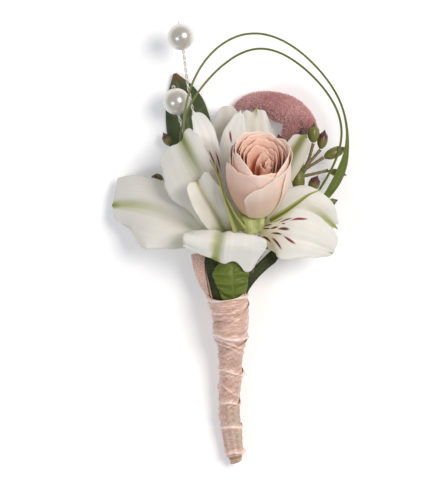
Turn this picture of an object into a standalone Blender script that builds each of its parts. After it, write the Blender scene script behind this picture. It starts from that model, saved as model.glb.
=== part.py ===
"""A boutonniere, lying on its back on a table.

Two alstroemeria florets and a spray rose stand in front of a red-tipped leaf, a
velvet cockscomb, seeded eucalyptus, two loops of bear grass and two pearls on
twisted wire. Their stems are bound with floral tape, and a ribbon is wound
round the tape as a handle.

The +Y axis runs from the handle's cut end to the flowers, +Z points away from
the table, and the origin is the centre of the footprint, on the table. Places
and sizes below are in millimetres, and every mesh is turned to metres as it is
made.
"""

import math

import bmesh
import bpy
import numpy as np
from mathutils import Matrix, Quaternion, Vector

MM = 0.001
CLEARANCE = 0.3
TOWARDS_VIEWER = (0.0, 0.0, 1.0)

# Driving sizes of the handle, from the mouth of the ribbon to the cut end.
HANDLE_LINE = [(-0.8, -15.5, 11.2), (0.0, -22.9, 9.9), (0.1, -30.5, 8.2), (0.1, -36.8, 7.1), (-0.1, -42.9, 6.1),
               (-0.3, -49.3, 5.2), (0.3, -55.4, 4.4), (1.0, -61.8, 3.7), (1.9, -66.4, 3.3)]
HANDLE_SHARES = [0.0, 0.14, 0.25, 0.31, 0.40, 0.54, 0.66, 0.79, 0.91, 1.0]
HANDLE_RADII = [6.1, 5.5, 5.1, 4.1, 3.6, 3.45, 3.15, 3.1, 2.95, 2.9]
RIBBON_WIDTH = 11.0
RIBBON_THICK = 0.15
RIBBON_TURNS = 6
RIBBON_STEP = 0.45
RIBBON_END = 0.97
TAPE_THICK = 0.25
STEM_RADIUS = 0.75

# Driving sizes of the flowers.
TEPAL_THICK = 0.45
ROSE_BASE = (7.6, 10.4, 22.8)
ROSE_AXIS = (0.06, 0.77, 0.63)
ROSE_RADIUS = 9.6
ROSE_HEIGHT = 24.4
ROSE_PETAL_THICK = 0.4
PEARL_RADIUS = 4.05
WIRE_RADIUS = 0.4
PEARL_BORE_RADIUS = WIRE_RADIUS + CLEARANCE

WHITE = (0.86, 0.85, 0.81)
BLUSH = (0.80, 0.52, 0.42)
APRICOT = (0.78, 0.36, 0.22)
LEAF_GREEN = (0.15, 0.22, 0.06)
DARK_GREEN = (0.06, 0.10, 0.04)
GRASS_GREEN = (0.16, 0.22, 0.07)
HIP_GREEN = (0.36, 0.42, 0.12)
STEM_GREEN = (0.25, 0.30, 0.12)
BARK_BROWN = (0.24, 0.17, 0.11)
BUD_OLIVE = (0.22, 0.20, 0.05)
DUSTY_PINK = (0.47, 0.22, 0.23)
PEARL_CREAM = (0.86, 0.83, 0.78)
SILVER = (0.80, 0.79, 0.76)
PEACH = (0.73, 0.50, 0.43)
TAPE_GREEN = (0.24, 0.30, 0.16)


# ---------------------------------------------------------------- the scene


def clear_scene():
    """Removes whatever the scene starts with."""
    for old in list(bpy.data.objects):
        bpy.data.objects.remove(old)


def finish(name, colour, roughness, metallic=0.0):
    """A Principled material of that colour, shared by every piece that asks for its name."""
    made = bpy.data.materials.get(name)
    if made is None:
        made = bpy.data.materials.new(name)
        made.use_nodes = True
        shader = made.node_tree.nodes["Principled BSDF"]
        shader.inputs["Base Color"].default_value = (*colour, 1.0)
        shader.inputs["Roughness"].default_value = roughness
        shader.inputs["Metallic"].default_value = metallic
    return made


def add_piece(name, data, material, place=(0.0, 0.0, 0.0), turn=None):
    """An object of that mesh or curve in the boutonniere's collection, at a place in millimetres."""
    piece = bpy.data.objects.new(name, data)
    piece.location = Vector(place) * MM
    if turn is not None:
        piece.rotation_mode = "QUATERNION"
        piece.rotation_quaternion = turn
    piece.data.materials.append(material)
    piece.parent = BUNCH
    COLLECTION.objects.link(piece)
    return piece


# ------------------------------------------------------------------- curves


def smooth_line(points, samples=160):
    """Many points, evenly spaced, along a Catmull-Rom curve through the given ones and any widths they carry."""
    p = np.array(points, float)
    p = np.vstack([2 * p[0] - p[1], p, 2 * p[-1] - p[-2]])
    spans = len(p) - 3
    t = np.linspace(0, spans, samples)
    i = np.minimum(t.astype(int), spans - 1)
    f = (t - i)[:, None]
    a, b, c, d = p[i], p[i + 1], p[i + 2], p[i + 3]
    line = 0.5 * (2 * b + (c - a) * f + (2 * a - 5 * b + 4 * c - d) * f**2 + (3 * b - a - 3 * c + d) * f**3)
    length = np.concatenate([[0], np.cumsum(np.linalg.norm(np.diff(line[:, :3], axis=0), axis=1))])
    even = np.linspace(0, length[-1], samples)
    return np.stack([np.interp(even, length, line[:, k]) for k in range(line.shape[1])], axis=1)


def at_share(line, share):
    """The point at that share of a line's length, which may be a little past its end."""
    place = share * (len(line) - 1)
    i = min(max(int(place), 0), len(line) - 2)
    return line[i] + (line[i + 1] - line[i]) * (place - i)


def unit(vector):
    return np.array(vector, float) / np.linalg.norm(vector)


def across(line, share, facing):
    """The direction across a strip and the direction that its face looks in, at a share of its line."""
    tangent = unit(at_share(line, share + 0.01) - at_share(line, share - 0.01))
    side = unit(np.cross(tangent, facing))
    return side, np.cross(side, tangent)


def blend(a, b, share):
    return (1 - share) * np.array(a, float) + share * np.array(b, float)


def ease(x):
    """A smooth step from 0 to 1."""
    x = min(max(x, 0.0), 1.0)
    return x * x * (3 - 2 * x)


# ------------------------------------------------------------ kinds of shape


def blade(name, material, stations, facing, thick=TEPAL_THICK, cup=0.0, wave=0.0, round_end=0.15, point=0.0,
          columns=6, rows=9):
    """A petal, leaf or strip: a grid bent along its stations and given a thickness.

    A station is a place on its midrib and its widths to the left and right there. cup lifts its
    edges towards the side that it faces, wave ruffles them, round_end shortens it towards its
    edges, and point draws out the middle of its tip, all but wave as shares of its size.
    """
    line = smooth_line(stations)
    spine, left, right = line[:, :3], line[:, 3], line[:, 4]
    length = np.linspace(0, 1, len(line))
    first, last = facing if isinstance(facing[0], tuple) else (facing, facing)
    mesh = bmesh.new()
    bmesh.ops.create_grid(mesh, x_segments=columns, y_segments=rows, size=1)
    for vertex in mesh.verts:
        u = vertex.co.x
        v = (vertex.co.y + 1) / 2
        share = v * (1 - round_end * abs(u) ** 3 + point * math.exp(-((u / 0.16) ** 2)) * v**6)
        side, normal = across(spine, share, blend(first, last, v))
        width = float(np.interp(v, length, left if u < 0 else right))
        lift = cup * width * u * u + wave * math.sin(9 * v + 2.5 * u) * abs(u) ** 2 * v
        vertex.co = Vector(at_share(spine, share) + side * u * width + normal * lift - spine[0]) * MM
    bmesh.ops.reverse_faces(mesh, faces=mesh.faces)
    data = bpy.data.meshes.new(name)
    mesh.to_mesh(data)
    mesh.free()
    data.shade_smooth()
    piece = add_piece(name, data, material, place=spine[0])
    shell = piece.modifiers.new("Thickness", "SOLIDIFY")
    shell.thickness = thick * MM
    shell.offset = 0.0
    return piece


def strip(points, start_width, end_width):
    """Stations for a narrow piece whose half width runs evenly between those two, both sides alike."""
    last = len(points) - 1
    widths = [start_width + (end_width - start_width) * i / last for i in range(last + 1)]
    return [(*point, width, width) for point, width in zip(points, widths)]


def stalk(name, material, points, radius, steps=10, swell=None, sides=1):
    """A stem, twig or wire: a bevelled poly curve with filled caps. swell scales the radius at a share of the length."""
    line = smooth_line(points)
    curve = bpy.data.curves.new(name, "CURVE")
    curve.dimensions = "3D"
    curve.bevel_depth = radius * MM
    curve.bevel_resolution = sides
    curve.use_fill_caps = True
    spline = curve.splines.new("POLY")
    spline.points.add(steps - 1)
    for i, point in enumerate(spline.points):
        share = i / (steps - 1)
        point.co = (*(at_share(line, share) - line[0]) * MM, 1.0)
        point.radius = swell(share) if swell else 1.0
    return add_piece(name, curve, material, place=line[0])


def turned(name, material, outline, place, axis, steps=12):
    """A solid turned about its own Z axis, from radius and height pairs that run from its top to its bottom."""
    mesh = bmesh.new()
    points = [mesh.verts.new((r * MM, 0, h * MM)) for r, h in outline]
    for a, b in zip(points, points[1:]):
        mesh.edges.new((a, b))
    data = bpy.data.meshes.new(name)
    mesh.to_mesh(data)
    mesh.free()
    turn = Vector((0, 0, 1)).rotation_difference(Vector(axis).normalized())
    piece = add_piece(name, data, material, place=place, turn=turn)
    screw = piece.modifiers.new("Turn", "SCREW")
    screw.steps = steps
    screw.render_steps = steps
    screw.use_merge_vertices = True
    screw.merge_threshold = 1e-6
    screw.use_smooth_shade = True
    return piece


def mesh_of(piece):
    """The piece as a mesh object with its caps welded, in place of a curve."""
    evaluated = piece.evaluated_get(bpy.context.evaluated_depsgraph_get())
    data = bpy.data.meshes.new_from_object(evaluated)
    mesh = bmesh.new()
    mesh.from_mesh(data)
    bmesh.ops.remove_doubles(mesh, verts=mesh.verts, dist=1e-6)
    mesh.to_mesh(data)
    mesh.free()
    name, place = piece.name, piece.location / MM
    bpy.data.objects.remove(piece)
    return add_piece(name, data, data.materials[0], place=place)


def grown_together(trunk, branches):
    """The trunk joined with its branches into one solid, by Boolean union."""
    bpy.context.view_layer.update()
    whole = mesh_of(trunk)
    for branch in branches:
        other = mesh_of(branch)
        COLLECTION.objects.unlink(other)
        HELPERS.objects.link(other)
        other.hide_render = True
        other.display_type = "WIRE"
        union = whole.modifiers.new("Join " + other.name, "BOOLEAN")
        union.operation = "UNION"
        union.object = other
    return whole


# ------------------------------------------------------------------- handle


HANDLE = smooth_line(HANDLE_LINE)


def handle_frame(share):
    """The handle at a share of its length from the mouth: its centre, the way to its right, and the way up."""
    side, up = across(HANDLE, share, TOWARDS_VIEWER)
    return at_share(HANDLE, share), -side, up


def handle_radius(share):
    """The ribbon's outer radius: a full collar, a step where the short stems end, then a slim grip."""
    return float(np.interp(share, HANDLE_SHARES, HANDLE_RADII))


def in_handle(slot, share):
    """Where a stem lies in the bundle, from its slot: its angle and how far out at the mouth, and its angle below."""
    mouth_angle, out, grip_angle = slot
    narrow = ease((share - 0.25) / 0.14)
    angle = math.radians(mouth_angle + (grip_angle - mouth_angle) * narrow)
    centre, side, up = handle_frame(share)
    reach = (handle_radius(share) - 1.9) * (out + (1 - out) * narrow)
    return centre + reach * (math.cos(angle) * side + math.sin(angle) * up)


def sleeve(name, material, share_range, outer, thick, start_angle=0.0, columns=16, rows=16):
    """A thin tube round the handle's stems, between two shares of the handle's length."""
    first, last = share_range
    mesh = bmesh.new()
    bmesh.ops.create_grid(mesh, x_segments=columns, y_segments=rows, size=1)
    origin = at_share(HANDLE, first)
    for vertex in mesh.verts:
        angle = start_angle + math.pi * vertex.co.x
        share = first + (last - first) * (vertex.co.y + 1) / 2
        centre, side, up = handle_frame(share)
        radius = outer(share)
        spot = centre + radius * (math.cos(angle) * side + math.sin(angle) * up)
        vertex.co = Vector(spot - origin) * MM
    bmesh.ops.remove_doubles(mesh, verts=mesh.verts, dist=1e-6)
    data = bpy.data.meshes.new(name)
    mesh.to_mesh(data)
    mesh.free()
    data.shade_smooth()
    piece = add_piece(name, data, material, place=origin)
    shell = piece.modifiers.new("Thickness", "SOLIDIFY")
    shell.thickness = thick * MM
    shell.offset = -1.0
    return piece


def make_ribbon():
    """One ribbon, wound down the handle so that each turn lies over the edge of the turn before it.

    The first turn is wound almost level, and a little inside the rest, so that the mouth is even.
    """
    length = np.linalg.norm(np.diff(HANDLE, axis=0), axis=1).sum()
    pitch = (length * RIBBON_END - RIBBON_WIDTH) / (RIBBON_TURNS - 2 / 3)
    mesh = bmesh.new()
    bmesh.ops.create_grid(mesh, x_segments=3, y_segments=16 * RIBBON_TURNS, size=1)
    origin = HANDLE[0]
    for vertex in mesh.verts:
        turn = RIBBON_TURNS * (vertex.co.y + 1) / 2
        over = (vertex.co.x + 1) / 2
        travel = turn**3 / 3 if turn < 1 else turn - 2 / 3
        share = (RIBBON_WIDTH * over + pitch * travel) / length
        centre, side, up = handle_frame(share)
        angle = 2 * math.pi * turn - math.pi / 2
        radius = handle_radius(share) - RIBBON_STEP * over - 0.3 * max(0.0, 1 - turn)
        spot = centre + radius * (math.cos(angle) * side + math.sin(angle) * up)
        vertex.co = Vector(spot - origin) * MM
    data = bpy.data.meshes.new("ribbon_wrap")
    mesh.to_mesh(data)
    mesh.free()
    data.shade_smooth()
    piece = add_piece("ribbon_wrap", data, finish("ribbon", PEACH, 0.45), place=origin)
    shell = piece.modifiers.new("Thickness", "SOLIDIFY")
    shell.thickness = RIBBON_THICK * MM
    shell.offset = 0.0
    return piece


def make_handle():
    """The floral tape round the stems, the ribbon over it, and the ribbon's loose end."""
    tape = finish("floral_tape", TAPE_GREEN, 0.7)
    sleeve("floral_tape", tape, (0.07, 0.985), lambda share: handle_radius(share) - 0.85, TAPE_THICK)
    make_ribbon()
    tail = strip([(-5.7, -16.6, 10.8), (-7.0, -13.0, 10.8), (-8.8, -8.4, 10.2), (-9.6, -2.9, 9.2)], 1.4, 2.2)
    blade("ribbon_tail", finish("ribbon", PEACH, 0.45), tail, ((-1.0, 0.0, 0.3), TOWARDS_VIEWER), thick=0.25,
          round_end=0.0, columns=2, rows=6)


# ------------------------------------------------------- alstroemeria florets


# Each tepal: its stations, the side that its face looks to, its cup, its ruffle and how round its end is.
FLORET_LEFT = {
    "outer_left": (
        [(-3.8, 1.2, 11.7, 1.0, 1.0), (-9.2, 4.5, 13.4, 6.0, 4.5), (-16.1, 8.1, 14.2, 9.6, 7.5),
         (-22.7, 10.8, 13.0, 11.2, 8.6), (-28.7, 12.0, 10.4, 10.6, 8.2), (-35.5, 11.8, 5.6, 6.4, 7.6)],
        (0.0, 0.1, 1.0), -0.14, 0.4, 0.04),
    "outer_front": (
        [(-5.4, 1.9, 13.2, 1.0, 1.0), (-5.5, 6.6, 16.2, 5.0, 3.5), (-6.1, 12.3, 18.8, 9.2, 4.5),
         (-7.9, 17.9, 20.6, 11.0, 5.0), (-10.6, 22.7, 21.0, 11.0, 5.2), (-13.0, 26.9, 20.0, 9.6, 5.4),
         (-15.1, 31.0, 17.4, 6.4, 5.4)],
        (-0.2, 0.1, 1.0), -0.12, 0.3, 0.06),
    "outer_back": (
        [(-1.2, 4.4, 9.8, 1.0, 1.0), (-1.4, 16.3, 6.0, 4.0, 4.0), (-1.3, 27.0, 5.2, 5.4, 5.4),
         (-1.0, 35.1, 5.2, 5.4, 5.4), (-0.7, 41.8, 5.8, 3.8, 3.8)],
        (0.0, 0.0, 1.0), 0.06, 0.2, 0.07),
    "inner_top": (
        [(-3.2, 3.6, 12.0, 0.8, 0.8), (-4.4, 15.6, 14.6, 2.6, 2.6), (-5.2, 23.4, 15.8, 4.0, 3.0),
         (-6.7, 29.6, 16.6, 4.0, 3.2), (-8.5, 34.7, 16.6, 3.4, 3.2), (-10.9, 39.2, 15.4, 1.8, 2.6)],
        (0.2, 0.0, 1.0), 0.10, 0.1, 0.06),
    "inner_front": (
        [(-3.8, 2.6, 15.2, 0.8, 0.8), (-4.9, 6.9, 20.4, 2.2, 2.6), (-7.3, 12.5, 23.6, 3.4, 3.6),
         (-9.1, 16.0, 24.8, 3.4, 3.2), (-10.6, 18.7, 24.8, 2.2, 2.4)],
        (0.0, 0.1, 1.0), 0.10, 0.1, 0.06),
    "inner_back": (
        [(-3.4, 3.8, 10.0, 0.8, 0.8), (-11.6, 11.8, 8.0, 3.6, 3.6), (-18.0, 16.0, 5.0, 2.8, 2.8)],
        (0.0, 0.0, 1.0), 0.08, 0.1, 0.1),
}
FLORET_RIGHT = {
    "outer_bottom": (
        [(0.3, 0.3, 14.8, 1.2, 1.2), (-0.1, 2.5, 18.6, 5.6, 5.6), (-0.6, 2.8, 21.6, 10.2, 10.4),
         (-1.0, -0.3, 23.0, 12.8, 11.8), (-1.6, -5.0, 20.4, 10.4, 11.4)],
        ((0.0, 1.0, 0.1), (0.05, -0.5, 0.9)), -0.12, 0.4, 0.06),
    "outer_right": (
        [(9.5, 3.6, 11.6, 1.0, 1.0), (15.5, 8.1, 14.0, 4.4, 4.0), (20.8, 10.8, 14.6, 6.6, 5.2),
         (25.4, 9.9, 13.2, 6.2, 5.2), (29.1, 7.5, 10.8, 5.0, 4.6), (31.8, 5.1, 8.2, 3.2, 2.8)],
        (0.0, 0.0, 1.0), -0.10, 0.3, 0.05),
    "outer_top": (
        [(6.6, 5.4, 9.0, 1.0, 1.0), (7.4, 16.3, 8.0, 4.4, 4.4), (8.0, 25.3, 8.8, 6.2, 6.2),
         (8.0, 32.8, 10.0, 6.2, 6.0), (8.0, 40.8, 11.2, 4.4, 3.8)],
        (0.0, 0.0, 1.0), 0.05, 0.2, 0.05),
    "inner_right": (
        [(9.6, 1.6, 14.8, 1.0, 1.0), (13.0, 2.4, 17.2, 5.0, 4.2), (17.8, 1.8, 18.8, 9.0, 6.2),
         (23.2, 0.6, 18.4, 8.6, 5.0), (27.4, -0.9, 16.2, 7.0, 3.8), (31.0, -2.4, 12.8, 4.6, 2.4)],
        (0.0, -0.1, 1.0), -0.08, 0.3, 0.05),
    "inner_top_left": (
        [(3.9, 5.2, 11.6, 0.8, 0.8), (1.7, 16.3, 11.0, 3.6, 3.6), (0.8, 25.9, 11.8, 4.2, 4.2),
         (1.4, 33.1, 12.8, 3.8, 3.8), (2.9, 39.4, 13.6, 2.0, 2.0)],
        (-0.1, 0.0, 1.0), 0.08, 0.1, 0.06),
    "inner_top_right": (
        [(8.4, 6.6, 10.6, 0.9, 0.9), (11.9, 14.7, 12.2, 3.4, 2.6), (16.4, 22.8, 15.4, 4.2, 4.0),
         (19.6, 28.2, 16.8, 3.8, 3.6), (22.0, 32.1, 17.6, 3.2, 3.2)],
        (0.1, -0.1, 1.0), 0.20, 0.1, 0.04),
}


def make_florets():
    """Six tepals and a pistil for each floret. Their ovaries are the swollen ends of the alstroemeria stems."""
    white = finish("tepal", WHITE, 0.5)
    style = finish("pistil", HIP_GREEN, 0.5)
    for floret, tepals in (("floret_left", FLORET_LEFT), ("floret_right", FLORET_RIGHT)):
        for tepal, (stations, facing, cup, wave, round_end) in tepals.items():
            blade(f"{floret}_tepal_{tepal}", white, stations, facing, cup=cup, wave=wave, round_end=round_end,
                  point=0.03)
    stalk("floret_left_pistil", style, [(-1.4, 4.6, 13.6), (-0.4, 9.6, 17.0), (-1.6, 15.6, 18.6)], 0.4, steps=6)
    stalk("floret_right_pistil", style, [(9.2, 4.6, 14.4), (11.2, 8.4, 18.2), (13.4, 12.0, 20.2)], 0.4, steps=6)


# --------------------------------------------------------------------- rose


ROSE_FRONT = unit(np.array(TOWARDS_VIEWER) - unit(ROSE_AXIS)[2] * unit(ROSE_AXIS))
ROSE_TURN = Matrix((np.cross(-ROSE_FRONT, unit(ROSE_AXIS)), -ROSE_FRONT, unit(ROSE_AXIS))).transposed().to_quaternion()


def rose_profile(v, root, fullness, lean):
    """A rose petal's radius at a share of its length: from its root through a full belly to a rim that leans."""
    belly = math.sin(math.pi * min(0.5, 0.70 * v)) ** 0.8
    return root + (fullness - root) * belly * (1 - (0.22 - lean) * ease((v - 0.55) / 0.45))


def rose_petal(name, material, layer, centre, columns=7, rows=7):
    """One petal of a layer of the rose, in the rose's own frame: +Z is its axis, and 270 degrees is its front.

    One edge lies just outside its layer's radius and the other just inside, so neighbours overlap.
    """
    count, _, root, fullness, height, lean, start = layer
    span = 360.0 / count + 16.0
    mesh = bmesh.new()
    bmesh.ops.create_grid(mesh, x_segments=columns, y_segments=rows, size=1)
    for vertex in mesh.verts:
        u = vertex.co.x
        v = (vertex.co.y + 1) / 2
        reach = v * (1 - 0.16 * abs(u) ** 2.2)
        radius = rose_profile(reach, root, fullness, lean) - 0.4 * u
        angle = math.radians(centre + span / 2 * u)
        vertex.co = Vector((radius * math.cos(angle), radius * math.sin(angle), start + height * reach)) * MM
    bmesh.ops.reverse_faces(mesh, faces=mesh.faces)
    data = bpy.data.meshes.new(name)
    mesh.to_mesh(data)
    mesh.free()
    data.shade_smooth()
    piece = add_piece(name, data, material, place=ROSE_BASE, turn=ROSE_TURN)
    shell = piece.modifiers.new("Thickness", "SOLIDIFY")
    shell.thickness = ROSE_PETAL_THICK * MM
    shell.offset = 0.0
    return piece


# Layers of the rose from the outside in: petals, first petal's angle, root radius, full radius, height, lean of
# the rim, and where its roots start above the hip.
ROSE_LAYERS = {
    "outer": (5, 226.0, 4.6, ROSE_RADIUS, ROSE_HEIGHT * 0.84, 0.10, 0.4),
    "middle": (3, 250.0, 3.2, ROSE_RADIUS - 1.9, ROSE_HEIGHT * 0.90, 0.06, 0.8),
    "inner": (3, 310.0, 1.9, ROSE_RADIUS - 3.7, ROSE_HEIGHT * 0.88, 0.03, 1.2),
}


def make_rose():
    """Layers of petals round a tight core, on a hip with its sepals."""
    blush = finish("rose_outer", BLUSH, 0.55)
    apricot = finish("rose_inner", APRICOT, 0.55)
    green = finish("rose_hip", HIP_GREEN, 0.5)
    for name, layer in ROSE_LAYERS.items():
        for i in range(layer[0]):
            rose_petal(f"rose_petal_{name}_{i + 1}", apricot if name == "inner" else blush, layer,
                       layer[1] + 360.0 / layer[0] * i)
    core = [(0.0, 20.6), (1.8, 20.2), (3.2, 18.0), (3.9, 13.0), (3.5, 8.0), (2.4, 4.6), (1.1, 2.2), (0.0, 2.0)]
    turned("rose_core", apricot, core, ROSE_BASE, ROSE_AXIS)
    axis = unit(ROSE_AXIS)
    hip = [(0.0, 4.2), (3.4, 4.2), (4.1, 3.0), (4.1, 0.8), (3.8, -1.2), (2.8, -2.8), (1.4, -3.6), (0.0, -3.6)]
    turned("rose_hip", green, hip, np.array(ROSE_BASE) - 4.4 * axis, axis, steps=14)
    sepals = {
        "left": ([(2.7, 6.4, 23.4), (-0.2, 9.6, 27.4), (-1.9, 14.2, 29.6), (-3.4, 19.6, 29.4), (-6.2, 25.0, 26.6)],
                 (-0.3, 0.1, 1.0)),
        "right": ([(11.9, 7.0, 21.0), (15.6, 9.2, 22.8), (19.6, 12.0, 23.2), (23.2, 14.6, 21.8), (26.8, 16.2, 19.2)],
                  (-0.3, 0.6, 0.8)),
    }
    for side, (line, facing) in sepals.items():
        blade(f"rose_sepal_{side}", green, strip(line, 1.2, 0.3), facing, round_end=0.0, columns=2, rows=7)


# -------------------------------------------------------------------- stems


# A slot is a stem's angle round the bundle and how far out it lies at the mouth, and its angle in the grip.
SLOTS = {
    "rose": (90, 0.45, 90),
    "alstroemeria_left": (158, 0.88, 210),
    "alstroemeria_right": (14, 0.88, -30),
    "eucalyptus_right": (-16, 0.88, -16),
    "cockscomb": (-44, 0.88, -44),
    "grass": (-72, 0.88, -72),
    "leaf": (250, 0.88, 250),
    "eucalyptus_left": (204, 0.88, 204),
}


def bundled(slot, last_share, above):
    """A stem's line: from its cut end in the handle up to the mouth, then on through the points above."""
    shares = [last_share * k / 12 for k in range(12, 0, -1)] + [0.02]
    return [tuple(in_handle(SLOTS[slot], share)) for share in shares] + above


def ovary(share):
    """An alstroemeria stem swells into the floret's ovary at its top."""
    return 1.0 + 1.1 * ease((share - 0.92) / 0.05) - 0.5 * ease((share - 0.98) / 0.02)


def make_stems():
    """The stems, each bound in the handle: the rose's and the florets' run to the cut end."""
    green = finish("stem", STEM_GREEN, 0.55)
    stalk("rose_stem", green, bundled("rose", 0.99, [(2.4, -6.0, 14.0), (5.6, 1.6, 16.6)]), STEM_RADIUS, steps=18)
    stalk("alstroemeria_stem_left", green, bundled("alstroemeria_left", 0.985, [(-4.0, -6.0, 11.6), (-2.4, 0.4, 11.9)]),
          STEM_RADIUS, steps=20, swell=ovary)
    stalk("alstroemeria_stem_right", green,
          bundled("alstroemeria_right", 0.98, [(5.0, -6.6, 12.6), (7.2, 0.2, 11.4)]), STEM_RADIUS, steps=20,
          swell=ovary)


# ------------------------------------------------------- cockscomb and leaves


def make_cockscomb():
    """A fan of velvet: a thick crest that arches over from its narrow neck, and the stem it grew on."""
    velvet = finish("cockscomb", DUSTY_PINK, 0.9)
    crest = [(2.6, 42.2, 2.2), (6.0, 42.7, 3.6), (9.5, 42.7, 4.8), (13.6, 41.9, 5.7), (17.7, 40.6, 6.1),
             (20.7, 38.0, 6.2), (23.1, 35.3, 6.0), (23.9, 33.4, 5.6)]
    fan = stalk("cockscomb_crest", velvet, crest, 4.15, steps=13, sides=2,
                swell=lambda s: 0.28 + 0.72 * math.sin(math.pi * (0.04 + 0.84 * s)) ** 0.8)
    skirt = stalk("cockscomb_neck", velvet, [(19.4, 38.0, 5.9), (18.4, 34.4, 5.6), (16.8, 30.2, 5.0)], 3.4,
                  steps=7, sides=2, swell=lambda s: 1.0 - 0.66 * s)
    grown_together(fan, [skirt])
    green = finish("stem", STEM_GREEN, 0.55)
    stalk("cockscomb_stem", green, bundled("cockscomb", 0.22, [(7.6, -2.0, 6.4), (13.0, 14.0, 4.2), (16.2, 29.4, 4.9)]),
          0.8, steps=12)


def make_leaves():
    """The red-tipped leaf behind the pearls, and the leaves that collar the stems."""
    dark = finish("dark_leaf", DARK_GREEN, 0.4)
    green = finish("collar_leaf", LEAF_GREEN, 0.45)
    stem = [(*point, 0.7, 0.7) for point in bundled("leaf", 0.10, [])[::4]]
    leaf = stem + [(-2.0, -6.0, 6.0, 0.8, 0.8), (-3.0, 3.0, 4.8, 1.2, 1.2), (-6.3, 11.8, 3.0, 3.0, 3.0),
                   (-9.6, 21.9, 1.4, 5.4, 5.4), (-11.8, 31.0, 0.6, 6.8, 6.8), (-13.4, 40.1, 0.5, 6.4, 6.4),
                   (-15.0, 46.2, 0.8, 4.4, 4.4), (-16.9, 51.8, 1.8, 0.5, 0.5)]
    blade("red_tipped_leaf", dark, leaf, TOWARDS_VIEWER, cup=0.05, round_end=0.0, rows=16)
    front = [(-0.5, -16.8, 15.4, 2.4, 2.4), (0.0, -13.8, 16.5, 4.8, 4.8), (0.3, -9.9, 17.5, 5.8, 5.6),
             (0.4, -6.6, 17.7, 5.4, 5.4), (0.4, -4.4, 17.6, 3.4, 3.4)]
    blade("collar_leaf_front", green, front, TOWARDS_VIEWER, cup=-0.27, wave=0.3)
    left = strip([(-4.9, -16.8, 13.6), (-5.8, -12.0, 13.2), (-6.8, -3.8, 12.8)], 1.0, 1.8)
    blade("collar_leaf_left", dark, left, ((-0.8, 0.0, 0.6), (-0.4, 0.0, 1.0)), thick=0.35, columns=3, rows=6)
    right = strip([(3.0, -16.6, 14.0), (5.7, -12.2, 13.4), (9.4, -8.0, 11.8), (14.6, -3.4, 9.6)], 0.8, 1.9)
    blade("collar_leaf_right", dark, right, ((0.8, 0.0, 0.6), (0.3, 0.0, 1.0)), thick=0.35, columns=3, rows=7)


# --------------------------------------------------------------- eucalyptus


# Each bud: how far along the sprig its twig leaves, where the twig ends in it, its tip, and its radius.
BUDS_RIGHT = [
    (0.97, (24.9, 30.2, 12.0), (25.1, 36.4, 12.6), 1.75),
    (0.90, (21.9, 29.4, 11.6), (21.2, 34.8, 12.2), 1.4),
    (0.95, (27.1, 28.4, 10.6), (28.4, 34.4, 11.0), 1.5),
    (0.93, (28.0, 26.0, 9.6), (35.0, 29.2, 8.4), 1.35),
    (0.89, (29.4, 22.2, 7.2), (35.2, 20.8, 6.4), 1.1),
    (0.82, (24.2, 15.8, 11.4), (26.2, 20.6, 12.4), 1.65),
    (0.77, (19.8, 16.6, 11.0), (19.9, 22.6, 12.2), 1.4),
    (0.74, (28.2, 11.8, 3.6), (32.6, 13.4, 3.6), 1.1),
    (0.86, (15.6, 27.8, 9.0), (14.8, 33.0, 9.6), 1.1),
]
BUDS_LEFT = [
    (0.93, (-18.0, 29.6, 4.6), (-20.4, 33.8, 4.2), 1.3),
    (0.84, (-20.2, 19.6, 3.6), (-24.0, 20.6, 3.2), 1.2),
]


def bud(name, material, base, tip, radius):
    """A closed eucalyptus bud: a round cup drawn to a point by its cap."""
    base, tip = np.array(base), np.array(tip)
    length = np.linalg.norm(tip - base) - CLEARANCE
    axis = unit(tip - base)
    shares = [(0.0, 1.0), (0.16, 0.93), (0.5, 0.8), (0.86, 0.6), (1.0, 0.4), (0.86, 0.2), (0.4, 0.04), (0.0, 0.0)]
    outline = [(radius * r, length * h) for r, h in shares]
    return turned(name, material, outline, base + CLEARANCE * axis, axis, steps=10)


def make_eucalyptus():
    """Two sprigs of seeded eucalyptus: a woody twig with side twigs, and its buds."""
    bark = finish("twig", BARK_BROWN, 0.7)
    olive = finish("bud", BUD_OLIVE, 0.4)
    mains = {
        "right": bundled("eucalyptus_right", 0.22, [(7.0, -6.0, 9.0), (13.0, 3.0, 7.6), (18.2, 13.0, 8.6),
                                                    (21.0, 19.9, 9.6), (24.2, 26.0, 10.6)]),
        "left": bundled("eucalyptus_left", 0.18, [(-5.4, -5.0, 6.8), (-9.2, 8.0, 5.4), (-13.0, 19.0, 4.8),
                                                  (-16.4, 27.2, 4.8)]),
    }
    for side, buds in (("right", BUDS_RIGHT), ("left", BUDS_LEFT)):
        trunk = stalk(f"eucalyptus_twig_{side}", bark, mains[side], 0.65, steps=16, swell=lambda s: 1.1 - 0.35 * s)
        line = smooth_line(mains[side])
        twigs = []
        for i, (share, seat, _, _) in enumerate(buds):
            fork = at_share(line, share)
            bend = blend(fork, seat, 0.5) + 0.06 * np.linalg.norm(fork - seat) * np.array(TOWARDS_VIEWER)
            twigs.append(stalk(f"side_twig_{side}_{i + 1}", bark, [fork, bend, seat], 0.34, steps=4))
        grown_together(trunk, twigs)
        for i, (_, seat, tip, radius) in enumerate(buds):
            bud(f"eucalyptus_bud_{side}_{i + 1}", olive, seat, tip, radius)


# -------------------------------------------------------- grass and pearls


def relaxed(points):
    """The same points, each moved halfway to the middle of its neighbours, twice over, which takes kinks out."""
    for _ in range(2):
        moved = [tuple((a + 2 * b + c) / 4 for a, b, c in zip(*trio)) for trio in zip(points, points[1:], points[2:])]
        points = [points[0], *moved, points[-1]]
    return points


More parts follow.
